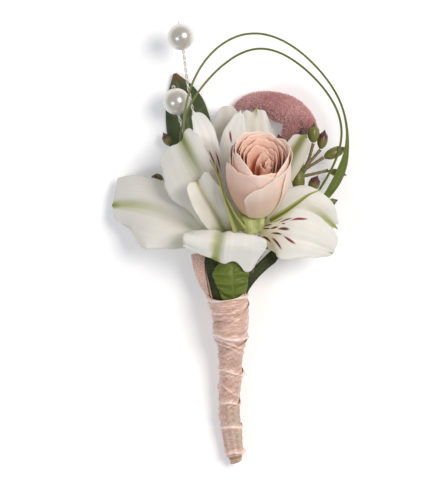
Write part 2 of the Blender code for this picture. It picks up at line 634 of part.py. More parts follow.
def make_grass():
    """Two blades of bear grass that loop over from the right and tuck in behind the left floret."""
    green = finish("grass", GRASS_GREEN, 0.45)
    outer = bundled("grass", 0.14, [
        (5.4, -8.0, 6.2), (14.0, 0.0, 4.6), (23.0, 6.6, 4.8), (29.2, 13.9, 6.6), (32.0, 18.1, 8.2), (34.2, 22.9, 10.0),
        (35.3, 27.7, 11.6), (35.7, 33.0, 12.8), (34.7, 39.0, 13.8), (33.0, 43.8, 14.4), (30.4, 47.9, 15.0),
        (26.2, 53.3, 15.8), (20.6, 58.8, 16.4), (14.6, 62.4, 16.8), (8.6, 64.0, 16.8), (2.6, 63.8, 16.6),
        (-3.4, 60.6, 16.4), (-8.4, 55.2, 16.0), (-11.4, 50.0, 15.6), (-13.4, 43.4, 15.2), (-15.0, 36.0, 14.0),
        (-14.6, 29.0, 12.0), (-11.0, 21.0, 10.8)])
    widths = [0.36 + 1.0 * math.exp(-(((i - 17.4) / 1.8) ** 2)) for i in range(len(outer))]
    blade("bear_grass_outer", green, [(*point, width, width) for point, width in zip(relaxed(outer), widths)], TOWARDS_VIEWER,
          thick=0.3, cup=0.3, round_end=0.0, columns=2, rows=60)
    inner = [
        (20.6, 6.4, 6.2), (24.6, 12.8, 7.4), (27.4, 17.5, 8.6), (30.8, 22.2, 9.8), (33.2, 27.6, 10.8),
        (34.2, 33.1, 11.4), (33.6, 37.9, 11.8), (31.4, 42.6, 12.2), (28.2, 47.8, 12.6), (21.6, 54.2, 13.0),
        (14.8, 58.8, 13.4), (9.0, 60.2, 13.6), (3.0, 58.6, 13.6), (-3.0, 54.0, 13.6), (-8.6, 48.0, 13.4),
        (-12.4, 42.6, 13.0), (-15.2, 36.2, 12.2), (-16.4, 30.0, 11.0), (-14.6, 24.0, 9.6)]
    blade("bear_grass_inner", green, strip(relaxed(inner), 0.38, 0.34), TOWARDS_VIEWER, thick=0.3, cup=0.3,
          round_end=0.0, columns=2, rows=54)


def pearl(name, centre, axis):
    """A glass pearl, turned with the bore that its wire runs through."""
    dip = math.asin(PEARL_BORE_RADIUS / PEARL_RADIUS)
    ring = [math.pi / 2 - dip - (math.pi - 2 * dip) * k / 10 for k in range(11)]
    outline = [(PEARL_RADIUS * math.cos(a), PEARL_RADIUS * math.sin(a)) for a in ring]
    outline.append(outline[0])
    turned(name, finish("pearl", PEARL_CREAM, 0.2), outline, centre, axis, steps=16)


def make_pearls():
    """Two pearls, each threaded on a doubled wire that is twisted below it."""
    silver = finish("wire", SILVER, 0.25, metallic=1.0)
    upper, lower = np.array((-14.9, 62.3, 12.4)), np.array((-16.3, 43.0, 9.0))
    upper_axis, lower_axis = unit((-0.16, 1.0, 0.08)), unit((-0.2, 1.0, 0.14))
    for name, centre, axis, below in (
        ("upper", upper, upper_axis, [(-3.4, 12.0, 8.2), (-8.4, 28.0, 9.0), (-12.4, 45.4, 10.8)]),
        ("lower", lower, lower_axis, [(-7.2, 14.0, 7.0), (-11.6, 27.0, 7.4)]),
    ):
        pearl(f"pearl_{name}", centre, axis)
        neck = centre - axis * (PEARL_RADIUS + 2.0)
        top = centre + axis * (PEARL_RADIUS + 0.7)
        line = below + [tuple(neck), tuple(centre - axis * 1.5), tuple(centre + axis * 1.5), tuple(top)]
        stalk(f"pearl_wire_{name}", silver, line, WIRE_RADIUS, steps=18)


# ------------------------------------------------------------ put together


def stand_on_origin():
    """Moves the whole bunch so that the origin is the centre of its footprint, on the table."""
    bpy.context.view_layer.update()
    graph = bpy.context.evaluated_depsgraph_get()
    corners = []
    for piece in COLLECTION.objects:
        if piece.type == "EMPTY":
            continue
        evaluated = piece.evaluated_get(graph)
        data = evaluated.to_mesh()
        spots = np.empty(len(data.vertices) * 3, np.float32)
        data.vertices.foreach_get("co", spots)
        world = np.array(evaluated.matrix_world)
        corners.append(spots.reshape(-1, 3) @ world[:3, :3].T + world[:3, 3])
        evaluated.to_mesh_clear()
    corners = np.vstack(corners)
    low, high = corners.min(axis=0), corners.max(axis=0)
    BUNCH.location = (-(low[0] + high[0]) / 2, -(low[1] + high[1]) / 2, -low[2])


clear_scene()
COLLECTION = bpy.data.collections.new("boutonniere")
HELPERS = bpy.data.collections.new("helpers")
bpy.context.scene.collection.children.link(COLLECTION)
bpy.context.scene.collection.children.link(HELPERS)
BUNCH = bpy.data.objects.new("boutonniere_origin", None)
COLLECTION.objects.link(BUNCH)

make_handle()
make_florets()
make_rose()
make_stems()
make_cockscomb()
make_leaves()
make_eucalyptus()
make_grass()
make_pearls()
stand_on_origin()
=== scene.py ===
"""A boutonniere that lies on its back on a white table, seen from straight above.

Two alstroemeria florets and a spray rose stand in front of a red-tipped leaf, a velvet
cockscomb, seeded eucalyptus, two loops of bear grass and two pearls on twisted wire. Their
stems are bound with floral tape, and a satin ribbon is wound round the tape as a handle.

Places and sizes are in millimetres from the maker's own zero, which lies in the bunch under
the mouth of the ribbon, with +Y towards the flowers and +Z away from the table. placed()
turns them into the frame's metres.
"""

import math

import bmesh
import bpy
import numpy as np
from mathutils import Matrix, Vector


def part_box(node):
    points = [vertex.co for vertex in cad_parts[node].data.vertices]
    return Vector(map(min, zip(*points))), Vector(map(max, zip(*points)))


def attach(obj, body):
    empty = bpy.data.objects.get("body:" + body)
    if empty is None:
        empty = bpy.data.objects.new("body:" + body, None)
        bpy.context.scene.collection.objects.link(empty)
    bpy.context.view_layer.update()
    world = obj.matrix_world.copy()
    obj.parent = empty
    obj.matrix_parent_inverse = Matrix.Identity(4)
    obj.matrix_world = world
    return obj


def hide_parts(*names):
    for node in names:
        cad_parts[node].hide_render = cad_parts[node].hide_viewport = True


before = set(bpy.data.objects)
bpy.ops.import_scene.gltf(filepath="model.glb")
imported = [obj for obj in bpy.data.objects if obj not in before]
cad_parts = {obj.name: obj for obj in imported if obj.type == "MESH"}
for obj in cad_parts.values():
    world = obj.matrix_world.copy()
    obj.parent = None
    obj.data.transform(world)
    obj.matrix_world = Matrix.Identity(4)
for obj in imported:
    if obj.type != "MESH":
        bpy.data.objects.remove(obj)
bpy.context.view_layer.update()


# ------------------------------------------------------------ table, camera and light
# The bunch is laid on a white table, and the camera looks straight down at it from a metre
# away. A large soft light stands at the right, a weaker one at the left.

MM = 0.001
UPPER_PEARL = (-14.9, 62.3, 12.4)
VIEW_CENTRE = (-2.4, -1.8, 15.0)
VIEW_DISTANCE = 1100.0
VIEW_LENGTH = 150.0
SENSOR = 36.0

pearl_low, pearl_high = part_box("pearl_upper")
MAKERS_ZERO = np.array((pearl_low + pearl_high) / 2) - MM * np.array(UPPER_PEARL)


def placed(spots):
    """Places in millimetres from the maker's zero, as places in the frame."""
    return np.asarray(spots, float) * MM + MAKERS_ZERO


def linear(hex_colour):
    """An sRGB hex colour as linear red, green, blue and alpha."""
    values = [int(hex_colour[i : i + 2], 16) / 255 for i in (1, 3, 5)]
    return (*[c / 12.92 if c <= 0.04045 else ((c + 0.055) / 1.055) ** 2.4 for c in values], 1.0)


def add_node(tree, kind, inputs=None, **settings):
    """A node of that kind, with its settings, and each input either linked to a socket or given a value."""
    made = tree.nodes.new(kind)
    for setting, value in settings.items():
        setattr(made, setting, value)
    for socket, value in (inputs or {}).items():
        if isinstance(value, bpy.types.NodeSocket):
            tree.links.new(value, made.inputs[socket])
        else:
            made.inputs[socket].default_value = value
    return made


def new_finish(name, sockets):
    """A Principled material with those values on its own sockets: the material, its tree and its shader."""
    made = bpy.data.materials.new(name)
    made.use_nodes = True
    shader = made.node_tree.nodes["Principled BSDF"]
    for socket, value in sockets.items():
        shader.inputs[socket].default_value = value
    return made, made.node_tree, shader


def add_object(name, data):
    """An object of that mesh, light or camera, in the scene."""
    made = bpy.data.objects.new(name, data)
    bpy.context.scene.collection.objects.link(made)
    return made


def aim(thing, place, target):
    """Puts a light or camera at a place and turns it to its target."""
    thing.location = Vector(place)
    thing.rotation_euler = (Vector(target) - Vector(place)).to_track_quat("-Z", "Y").to_euler()


camera_data = bpy.data.cameras.new("camera")
camera_data.sensor_width = SENSOR
camera_data.lens = SENSOR * VIEW_DISTANCE / VIEW_LENGTH
camera = add_object("camera", camera_data)
camera.location = placed(np.array(VIEW_CENTRE) + (0.0, 0.0, VIEW_DISTANCE))
bpy.context.scene.camera = camera
bpy.context.scene.view_settings.view_transform = "Standard"

# A sprayed white table top: matt, and bright enough to read as white paper under the lights.
table_white, tree, shader = new_finish("table_white_lacquer", {
    "Base Color": linear("#f7f7f8"), "Roughness": 0.85, "Specular IOR Level": 0.1,
    "Emission Color": (1.0, 1.0, 1.0, 1.0), "Emission Strength": 0.17})
grain = add_node(tree, "ShaderNodeTexNoise", {"Scale": 900.0, "Detail": 3.0})
relief = add_node(tree, "ShaderNodeBump", {"Height": grain.outputs[0], "Strength": 0.05, "Distance": 0.0002})
tree.links.new(relief.outputs[0], shader.inputs["Normal"])

table = bmesh.new()
bmesh.ops.create_grid(table, x_segments=8, y_segments=8, size=2.0)
table_data = bpy.data.meshes.new("table_top")
table.to_mesh(table_data)
table.free()
table_data.materials.append(table_white)
add_object("table_top", table_data)

LIGHTS = {
    "key_right": ((0.50, 0.22, 0.85), 0.46, 6.8, "#fffaf4"),
    "fill_left": ((-0.52, -0.26, 0.80), 0.30, 1.8, "#f6f8ff"),
}
for name, (place, size, watts, tint) in LIGHTS.items():
    light = bpy.data.lights.new(name, "AREA")
    light.shape = "SQUARE"
    light.size = size
    light.energy = watts
    light.color = linear(tint)[:3]
    aim(add_object(name, light), place, (0.0, 0.0, 0.0))

world = bpy.data.worlds.new("soft_box")
world.use_nodes = True
world.node_tree.nodes["Background"].inputs["Color"].default_value = linear("#f4f6fa")
world.node_tree.nodes["Background"].inputs["Strength"].default_value = 0.42
bpy.context.scene.world = world


# ------------------------------------------------------------------------ stems
# Eight cut stems are gathered into the handle: green, smooth and a little ribbed, with pale
# cut ends. Each alstroemeria stem swells at its top into the ovary below the floret.

HANDLE_LINE = [(-0.8, -15.5, 11.2), (0.0, -22.9, 9.9), (0.1, -30.5, 8.2), (0.1, -36.8, 7.1), (-0.1, -42.9, 6.1),
               (-0.3, -49.3, 5.2), (0.3, -55.4, 4.4), (1.0, -61.8, 3.7), (1.9, -66.4, 3.3)]
HANDLE_SHARES = [0.0, 0.14, 0.25, 0.31, 0.40, 0.54, 0.66, 0.79, 0.91, 1.0]
HANDLE_RADII = [6.1, 5.5, 5.1, 4.1, 3.6, 3.45, 3.15, 3.1, 2.95, 2.9]
TOWARDS_VIEWER = (0.0, 0.0, 1.0)
STEM_RADIUS = 0.75
STEM_SIDES = 18
STEM_INSET = 1.9


def smooth_line(points, samples=160):
    """Many points, evenly spaced, along a Catmull-Rom curve through the given ones and any widths they carry."""
    p = np.array(points, float)
    p = np.vstack([2 * p[0] - p[1], p, 2 * p[-1] - p[-2]])
    spans = len(p) - 3
    t = np.linspace(0, spans, samples)
    i = np.minimum(t.astype(int), spans - 1)
    f = (t - i)[:, None]
    a, b, c, d = p[i], p[i + 1], p[i + 2], p[i + 3]
    line = 0.5 * (2 * b + (c - a) * f + (2 * a - 5 * b + 4 * c - d) * f**2 + (3 * b - a - 3 * c + d) * f**3)
    length = np.concatenate([[0], np.cumsum(np.linalg.norm(np.diff(line[:, :3], axis=0), axis=1))])
    even = np.linspace(0, length[-1], samples)
    return np.stack([np.interp(even, length, line[:, k]) for k in range(line.shape[1])], axis=1)


def full_turn(count):
    """That many angles, evenly spaced round a circle."""
    return np.linspace(0, 2 * np.pi, count, endpoint=False)


def grid_cells(rows, columns):
    """The row and the column of each cell of a grid."""
    return (a.ravel() for a in np.meshgrid(np.arange(rows), np.arange(columns), indexing="ij"))


def at_share(line, share):
    """The points at those shares of a line's length, which may be a little past its end."""
    spot = np.asarray(share, float) * (len(line) - 1)
    i = np.clip(spot.astype(int), 0, len(line) - 2)
    return line[i] + (line[i + 1] - line[i]) * (spot - i)[..., None]


def unit(vectors):
    """The vectors, each made one long."""
    vectors = np.asarray(vectors, float)
    return vectors / np.linalg.norm(vectors, axis=-1, keepdims=True)


def across(line, share, facing):
    """The way across a strip and the way that its face looks, at shares of its line."""
    tangent = unit(at_share(line, share + 0.01) - at_share(line, share - 0.01))
    side = unit(np.cross(tangent, facing))
    return side, np.cross(side, tangent)


def ease(x):
    """A smooth step from 0 to 1."""
    x = np.clip(x, 0.0, 1.0)
    return x * x * (3 - 2 * x)


HANDLE = smooth_line(HANDLE_LINE)


def handle_frame(share):
    """The handle at shares of its length from the mouth: its centre, the way to its right, and the way up."""
    side, up = across(HANDLE, share, TOWARDS_VIEWER)
    return at_share(HANDLE, share), -side, up


def handle_radius(share):
    """The ribbon's outer radius: a full collar, a step where the short stems end, then a slim grip."""
    return np.interp(share, HANDLE_SHARES, HANDLE_RADII)


def in_handle(slot, share):
    """Where a stem lies in the bundle, from its slot: its angle and reach at the mouth, and its angle below."""
    mouth_angle, out, grip_angle = slot
    narrow = ease((share - 0.25) / 0.14)
    angle = np.radians(mouth_angle + (grip_angle - mouth_angle) * narrow)
    centre, side, up = handle_frame(share)
    reach = (handle_radius(share) - STEM_INSET) * (out + (1 - out) * narrow)
    return centre + reach * (np.cos(angle) * side + np.sin(angle) * up)


SLOTS = {
    "rose": (90, 0.45, 90),
    "alstroemeria_left": (158, 0.88, 210),
    "alstroemeria_right": (14, 0.88, -30),
    "eucalyptus_right": (-16, 0.88, -16),
    "cockscomb": (-44, 0.88, -44),
    "grass": (-72, 0.88, -72),
    "leaf": (250, 0.88, 250),
    "eucalyptus_left": (204, 0.88, 204),
}


def bundled(slot, last_share, above):
    """A stem's line: from its cut end in the handle up to the mouth, then on through the points above."""
    shares = [last_share * k / 12 for k in range(12, 0, -1)] + [0.02]
    return [tuple(in_handle(SLOTS[slot], share)) for share in shares] + list(above)


def new_mesh(name, finish, *parts):
    """One smooth mesh of parts: each has its places in millimetres, its faces and its corners' growth shares."""
    spots, faces, corners, count = [], [], [], 0
    for part_spots, part_faces, part_corners in parts:
        spots.append(part_spots)
        faces += [[corner + count for corner in face] for face in part_faces]
        corners.append(np.asarray(part_corners, np.float32).reshape(-1, 2))
        count += len(part_spots)
    data = bpy.data.meshes.new(name)
    data.from_pydata(placed(np.vstack(spots)).tolist(), [], faces)
    growth = data.uv_layers.new(name="growth")
    growth.data.foreach_set("uv", np.vstack(corners).ravel())
    data.materials.append(finish)
    data.shade_smooth()
    return data


def show(node, data):
    """The finished piece of that mesh: it rides with the bunch, and stands for its CAD node."""
    piece = add_object(node + "_fine", data)
    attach(piece, "root")
    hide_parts(node)
    return piece


def rings(line, radius, sides):
    """Rings of points round a line, without twist. radius is one value, one for each ring, or a grid."""
    tangent = unit(np.gradient(line, axis=0))
    lean = np.array((0.0, 0.0, 1.0)) if abs(tangent[0][2]) < 0.9 else np.array((1.0, 0.0, 0.0))
    first = np.empty_like(line)
    for i, way in enumerate(tangent):
        lean = unit(lean - way * np.dot(lean, way))
        first[i] = lean
    second = np.cross(tangent, first)
    angle = full_turn(sides)
    reach = np.broadcast_to(np.asarray(radius, float).reshape(-1, 1) if np.ndim(radius) < 2 else radius,
                            (len(line), sides))
    around = first[:, None] * np.cos(angle)[None, :, None] + second[:, None] * np.sin(angle)[None, :, None]
    return line[:, None] + around * reach[..., None]


def tube_part(line, radius, sides=14):
    """A tube along a line, with a fan over each end."""
    ring_points = rings(np.asarray(line, float), radius, sides)
    count = len(ring_points)
    along = np.linspace(0, 1, count)
    spots = np.vstack([ring_points.reshape(-1, 3), ring_points[0].mean(axis=0), ring_points[-1].mean(axis=0)])
    i, j = grid_cells(count - 1, sides)
    k = (j + 1) % sides
    walls = np.stack([i * sides + j, i * sides + k, (i + 1) * sides + k, (i + 1) * sides + j], axis=1)
    wall_corners = np.stack([np.stack([(j + over) / sides, along[i + up]], axis=1)
                             for over, up in ((0, 0), (1, 0), (1, 1), (0, 1))], axis=1)
    start, last = count * sides, (count - 1) * sides
    fans = [[start, (j + 1) % sides, j] for j in range(sides)]
    fans += [[start + 1, last + j, last + (j + 1) % sides] for j in range(sides)]
    fan_corners = [(0.5, 0.0)] * (3 * sides) + [(0.5, 1.0)] * (3 * sides)
    return spots, walls.tolist() + fans, wall_corners.reshape(-1, 2).tolist() + fan_corners


def growth_shares(tree, layer="growth"):
    """How far across or round a piece a spot lies, and how far along it, each from 0 to 1."""
    place = add_node(tree, "ShaderNodeUVMap", uv_map=layer).outputs[0]
    return add_node(tree, "ShaderNodeSeparateXYZ", {0: place}).outputs[:2]


def drawn_out(tree, changes_across, changes_along, detail=2.0, layer="growth"):
    """Uneven tone drawn out in lines, with that many changes across a piece and along it."""
    place = add_node(tree, "ShaderNodeUVMap", uv_map=layer).outputs[0]
    drawn = add_node(tree, "ShaderNodeMapping", {"Vector": place, "Scale": (changes_across, changes_along, 1.0)})
    return add_node(tree, "ShaderNodeTexNoise", {
        "Vector": drawn.outputs[0], "Scale": 1.0, "Detail": detail}).outputs[0]


def mottled(tree, changes, detail=2.0):
    """Uneven tone that is the same every way, with that many changes to a metre."""
    place = add_node(tree, "ShaderNodeTexCoord").outputs["Object"]
    return add_node(tree, "ShaderNodeTexNoise", {"Vector": place, "Scale": changes, "Detail": detail}).outputs[0]


def laid_over(tree, ground, coats):
    """A ground colour with coats laid over it in turn.

    Each coat is its colour and its amount. Four numbers after those spread the amount: from one
    value to another it goes from one strength to another, evenly unless a fifth word says how.
    """
    ground = linear(ground) if isinstance(ground, str) else ground
    for colour, amount, *spread in coats:
        if spread:
            low, high, at_low, at_high, *way = spread
            amount = add_node(tree, "ShaderNodeMapRange", {0: amount, 1: low, 2: high, 3: at_low, 4: at_high},
                              interpolation_type=way[0] if way else "LINEAR").outputs[0]
        colour = linear(colour) if isinstance(colour, str) else colour
        ground = add_node(tree, "ShaderNodeMix", {0: amount, 6: ground, 7: colour}, data_type="RGBA").outputs[2]
    return ground


def coloured(tree, shader, ground, coats=(), relief=None):
    """Gives a finish its ground and coats, and its relief: the height, the strength and the reach in metres."""
    tree.links.new(laid_over(tree, ground, coats), shader.inputs["Base Color"])
    if relief:
        height, strength, reach = relief
        raised = add_node(tree, "ShaderNodeBump", {"Height": height, "Strength": strength, "Distance": reach})
        tree.links.new(raised.outputs[0], shader.inputs["Normal"])


# Stem skin: green, with a fine lengthwise rib that gives a satin gleam, and paler towards the cut.
stem_skin, tree, shader = new_finish("green_stem_skin", {
    "Roughness": 0.45, "Specular IOR Level": 0.4, "Subsurface Weight": 0.15,
    "Subsurface Radius": (0.6, 1.0, 0.3), "Subsurface Scale": 0.0006})
ribs = drawn_out(tree, 14.0, 6.0)
_, along = growth_shares(tree)
coloured(tree, shader, "#5d6b33", [
    ("#8f9a58", ribs), ("#7c8446", mottled(tree, 260.0)), ("#b3a878", along, 0.0, 0.05, 0.7, 0.0)],
    relief=(ribs, 0.5, 0.0001))


def ovary(share):
    """An alstroemeria stem swells into the floret's ovary at its top, which has six ribs."""
    return 1.0 + 1.1 * ease((share - 0.92) / 0.05) - 0.5 * ease((share - 0.98) / 0.02)


STEMS = {
    "rose_stem": ("rose", 0.99, [(2.4, -6.0, 14.0), (5.6, 1.6, 16.6)], STEM_RADIUS, False),
    "alstroemeria_stem_left": (
        "alstroemeria_left", 0.985, [(-4.0, -6.0, 11.6), (-2.4, 0.4, 11.9)], STEM_RADIUS, True),
    "alstroemeria_stem_right": (
        "alstroemeria_right", 0.98, [(5.0, -6.6, 12.6), (7.2, 0.2, 11.4)], STEM_RADIUS, True),
    "cockscomb_stem": ("cockscomb", 0.22, [(7.6, -2.0, 6.4), (13.0, 14.0, 4.2), (16.2, 29.4, 4.9)], 0.8, False),
}
for name, (slot, last_share, above, thickness, swells) in STEMS.items():
    line = smooth_line(bundled(slot, last_share, above))
    share = np.linspace(0, 1, len(line))
    ribbed = 1 + 0.05 * np.cos(6 * full_turn(STEM_SIDES))[None, :]
    swell = ovary(share) if swells else np.ones(len(line))
    stem = tube_part(line, thickness * swell[:, None] * ribbed, sides=STEM_SIDES)
    show(name, new_mesh(name, stem_skin, stem))


# ---------------------------------------------------------- alstroemeria florets
# Each floret has six free tepals round a short pistil: three outer ones, blunt and white
# with a green rib that ends in a green point, and three narrower inner ones, some flecked
# with maroon over a yellow base. They are thin, waxy and ribbed lengthwise.


def sheet_part(middle, thick):
    """A grid of middle places (along, across) given that thickness, one value or a grid, with a closed rim."""
    rows, columns = middle.shape[:2]
    normal = unit(np.cross(np.gradient(middle, axis=1), np.gradient(middle, axis=0)))
    half = np.broadcast_to(np.asarray(thick, float) / 2, (rows, columns))[..., None]
    spots = np.vstack([(middle + normal * half).reshape(-1, 3), (middle - normal * half).reshape(-1, 3)])
    i, j = grid_cells(rows - 1, columns - 1)
    top = np.stack([i * columns + j, i * columns + j + 1, (i + 1) * columns + j + 1, (i + 1) * columns + j], axis=1)
    under = top[:, ::-1] + rows * columns
    edge = [(0, c) for c in range(columns - 1)] + [(r, columns - 1) for r in range(rows - 1)]
    edge += [(rows - 1, c) for c in range(columns - 1, 0, -1)] + [(r, 0) for r in range(rows - 1, 0, -1)]
    loop = np.array([r * columns + c for r, c in edge])
    following = np.roll(loop, -1)
    rim = np.stack([loop + rows * columns, following + rows * columns, following, loop], axis=1)
    faces = np.vstack([top, under, rim])
    cell = faces % (rows * columns)
    corners = np.stack([(cell % columns) / (columns - 1), (cell // columns) / (rows - 1)], axis=-1)
    return spots, faces.tolist(), corners.reshape(-1, 2)


def smooth_outline(pairs, samples=160):
    """A smooth curve through pairs, as points in a plane."""
    return smooth_line([(*pair, 0.0) for pair in pairs], samples)


def across_and_along(columns, rows):
    """A grid's places across, from -1 to 1, and along, from 0 to 1."""
    return np.meshgrid(np.linspace(-1, 1, columns), np.linspace(0, 1, rows))


def blade(stations, facing, thick, cup=0.0, wave=0.0, round_end=0.15, point=0.0, columns=33, rows=90,
          tip=None, relief=None, flare=None, margin=0.35):
    """A petal, leaf or strip: a grid bent along its stations and given a thickness, thinner at its margin.

    tip gives its end's outline as (across, share) pairs in place of round_end, flare scales its
    width, and relief lifts its face, in millimetres, both as functions of across (-1 to 1) and along.
    """
    line = smooth_line(stations)
    spine, left, right = line[:, :3], line[:, 3], line[:, 4]
    length = np.linspace(0, 1, len(line))
    first, last = facing if isinstance(facing[0], tuple) else (facing, facing)
    u, v = across_and_along(columns, rows)
    end = 1 - round_end * np.abs(u) ** 3
    if tip:
        outline = smooth_outline(tip)
        end = np.interp(u, outline[:, 0], outline[:, 1])
    share = v * (1 - (1 - end) * v**2 + point * np.exp(-((u / 0.12) ** 2)) * v**6)
    side, normal = across(spine, share, np.array(first) * (1 - v[..., None]) + np.array(last) * v[..., None])
    width = np.where(u < 0, np.interp(v, length, left), np.interp(v, length, right))
    if flare:
        width = width * flare(u, v)
    lift = cup * width * u * u + wave * np.sin(9 * v + 2.5 * u) * np.abs(u) ** 2 * v
    if relief:
        lift = lift + relief(u, v)
    middle = at_share(spine, share) + side * (u * width)[..., None] + normal * lift[..., None]
    taper = 1 - (1 - margin) * np.clip(np.maximum(np.abs(u), v) - 0.5, 0, 0.5) * 2
    return sheet_part(middle, thick * taper)


def ruffle(seed, height, reach=3.0, folds=(2.0, 3.4, 5.7)):
    """The wavy margin of a petal: a few waves along it, which grow towards its edges."""
    phases = [1.7 * seed, 2.9 * seed + 1.0, 4.3 * seed + 2.0]

    def lift(u, v):
        waves = sum(np.sin(2 * np.pi * f * v + p + 1.3 * u) / (k + 1)
                    for k, (f, p) in enumerate(zip(folds, phases)))
        return height * waves * np.abs(u) ** reach * ease(v / 0.35)

    return lift


def pleats(depth, count, phase=0.0):
    """Shallow ribs that run the length of a petal and fade out at its margin."""

    def lift(u, v):
        return depth * np.cos(np.pi * count * u + phase) * (1 - u**4) * ease(v / 0.2) * (1 - 0.5 * v)

    return lift


def crease(depth, width, centre=0.0, start=0.0):
    """A rounded groove along a petal, at that place across it."""

    def lift(u, v):
        return -depth * np.exp(-(((u - centre) / width) ** 2)) * ease((v - start) / 0.3)

    return lift


def all_of(*shapes):
    """The sum of several reliefs."""
    return lambda u, v: sum(shape(u, v) for shape in shapes)


def narrowed(seed, amount):
    """A margin that is a little uneven, as a cut from life."""
    return lambda u, v: 1 + amount * (np.sin(11 * v + seed + 2 * u) + 0.6 * np.sin(23 * v + 2.3 * seed)
                                     + 0.35 * np.sin(51 * v + 3.1 * seed)) * np.abs(u)


def off_rib(tree, cross, centre=0.0, wander=None):
    """How far a spot lies from a rib that runs at that place across a piece, which may wander a little."""
    off = add_node(tree, "ShaderNodeMath", {0: cross, 1: 2.0, 2: -1.0 - centre}, operation="MULTIPLY_ADD")
    if wander:
        off = add_node(tree, "ShaderNodeMath", {0: off.outputs[0], 1: wander})
    return add_node(tree, "ShaderNodeMath", {0: off.outputs[0]}, operation="ABSOLUTE").outputs[0]


def most_of(tree, amounts):
    """The greatest of several amounts at each spot."""
    most = amounts[0]
    for amount in amounts[1:]:
        most = add_node(tree, "ShaderNodeMath", {0: most, 1: amount}, operation="MAXIMUM").outputs[0]
    return most


def fleck_marks(tree, flecks):
    """Soft edged dashes: each has its place across and along, its half width, its half length and its slant."""
    growth = add_node(tree, "ShaderNodeUVMap", uv_map="growth").outputs[0]
    marks = []
    for fleck_across, fleck_along, half_width, half_length, slant in flecks:
        fleck = add_node(tree, "ShaderNodeMapping", {
            "Vector": growth, "Location": (fleck_across, fleck_along, 0.0), "Rotation": (0.0, 0.0, slant),
            "Scale": (1.3 * half_width, 1.15 * half_length, 1.0)}, vector_type="TEXTURE")
        from_middle = add_node(tree, "ShaderNodeVectorMath", {0: fleck.outputs[0]}, operation="LENGTH")
        spot = add_node(tree, "ShaderNodeMapRange", {
            0: from_middle.outputs["Value"], 1: 0.6, 2: 1.1, 3: 1.0, 4: 0.0})
        marks.append(spot.outputs[0])
    return most_of(tree, marks)


def tepal_skin(name, stripe=None, flecks=(), throat=("#cdd0a2", 0.6), ground=("#e6e3dc", "#dad6cd"),
               mark="#5e2227"):
    """Alstroemeria tepal: a waxy white skin over clear cells, which lets a little light through.

    stripe is the green rib's (strength, half width, where it starts, green, place across), throat the
    colour and strength at its base, and flecks are dashes of the mark colour, each with its place
    across and along, its half width, its half length and its slant.
    """
    made, tree, shader = new_finish(name, {
        "Roughness": 0.45, "Specular IOR Level": 0.3, "Subsurface Weight": 0.3,
        "Subsurface Radius": (1.0, 0.9, 0.6), "Subsurface Scale": 0.0012, "Sheen Weight": 0.04})
    cross, along = growth_shares(tree)
    # Veins run the length of a tepal about 0.4 mm apart, so 14 to 20 mm of width takes some 42 of them.
    veins = drawn_out(tree, 42.0, 2.4, detail=3.0)
    # Clouding a few millimetres across, as in petals that have been handled.
    coats = [(ground[1], veins, 0.35, 0.75, 0.0, 0.45), ("#d3cec3", mottled(tree, 130.0), 0.4, 0.75, 0.0, 0.45)]
    # The throat turns yellow green, further up along some veins than others.
    ragged = add_node(tree, "ShaderNodeMath", {0: veins, 1: 0.35, 2: along}, operation="MULTIPLY_ADD")
    coats.append((throat[0], ragged.outputs[0], 0.2, 0.62, throat[1], 0.0, "SMOOTHSTEP"))
    if stripe:
        strength, half_width, start, green, centre = stripe
        wander = add_node(tree, "ShaderNodeMath", {0: veins, 1: 0.16, 2: -0.08}, operation="MULTIPLY_ADD")
        near_rib = off_rib(tree, cross, centre, wander.outputs[0])
        # The rib is narrow and strong at the tip, and spreads and fades towards the base.
        spread = add_node(tree, "ShaderNodeMapRange", {0: along, 3: 1.7 * half_width, 4: half_width})
        share_off = add_node(tree, "ShaderNodeMath", {0: near_rib, 1: spread.outputs[0]}, operation="DIVIDE")
        band = add_node(tree, "ShaderNodeMapRange", {0: share_off.outputs[0], 3: 1.0, 4: 0.0},
                        interpolation_type="SMOOTHSTEP")
        reach = add_node(tree, "ShaderNodeMapRange", {0: along, 1: start, 2: 1.0, 3: 0.0, 4: strength},
                         interpolation_type="SMOOTHSTEP")
        amount = add_node(tree, "ShaderNodeMath", {0: band.outputs[0], 1: reach.outputs[0]}, operation="MULTIPLY",
                          use_clamp=True)
        coats.append((green, amount.outputs[0]))
        tip = add_node(tree, "ShaderNodeMapRange", {0: along, 1: 0.90, 2: 1.0}, interpolation_type="SMOOTHSTEP")
        tip_band = add_node(tree, "ShaderNodeMapRange", {0: near_rib, 1: 0.02, 2: 0.16, 3: 1.0, 4: 0.0})
        amount = add_node(tree, "ShaderNodeMath", {0: tip.outputs[0], 1: tip_band.outputs[0]},
                          operation="MULTIPLY")
        coats.append(("#7d833f", amount.outputs[0]))
    if flecks:
        # The dashes turn from maroon near the throat to crimson further out.
        dash = laid_over(tree, mark, [("#8a2a4b", along, 0.30, 0.42, 0.0, 1.0)])
        coats.append((dash, fleck_marks(tree, flecks)))
    coloured(tree, shader, linear(ground[0]), coats, relief=(veins, 0.2, 0.0001))
    return made


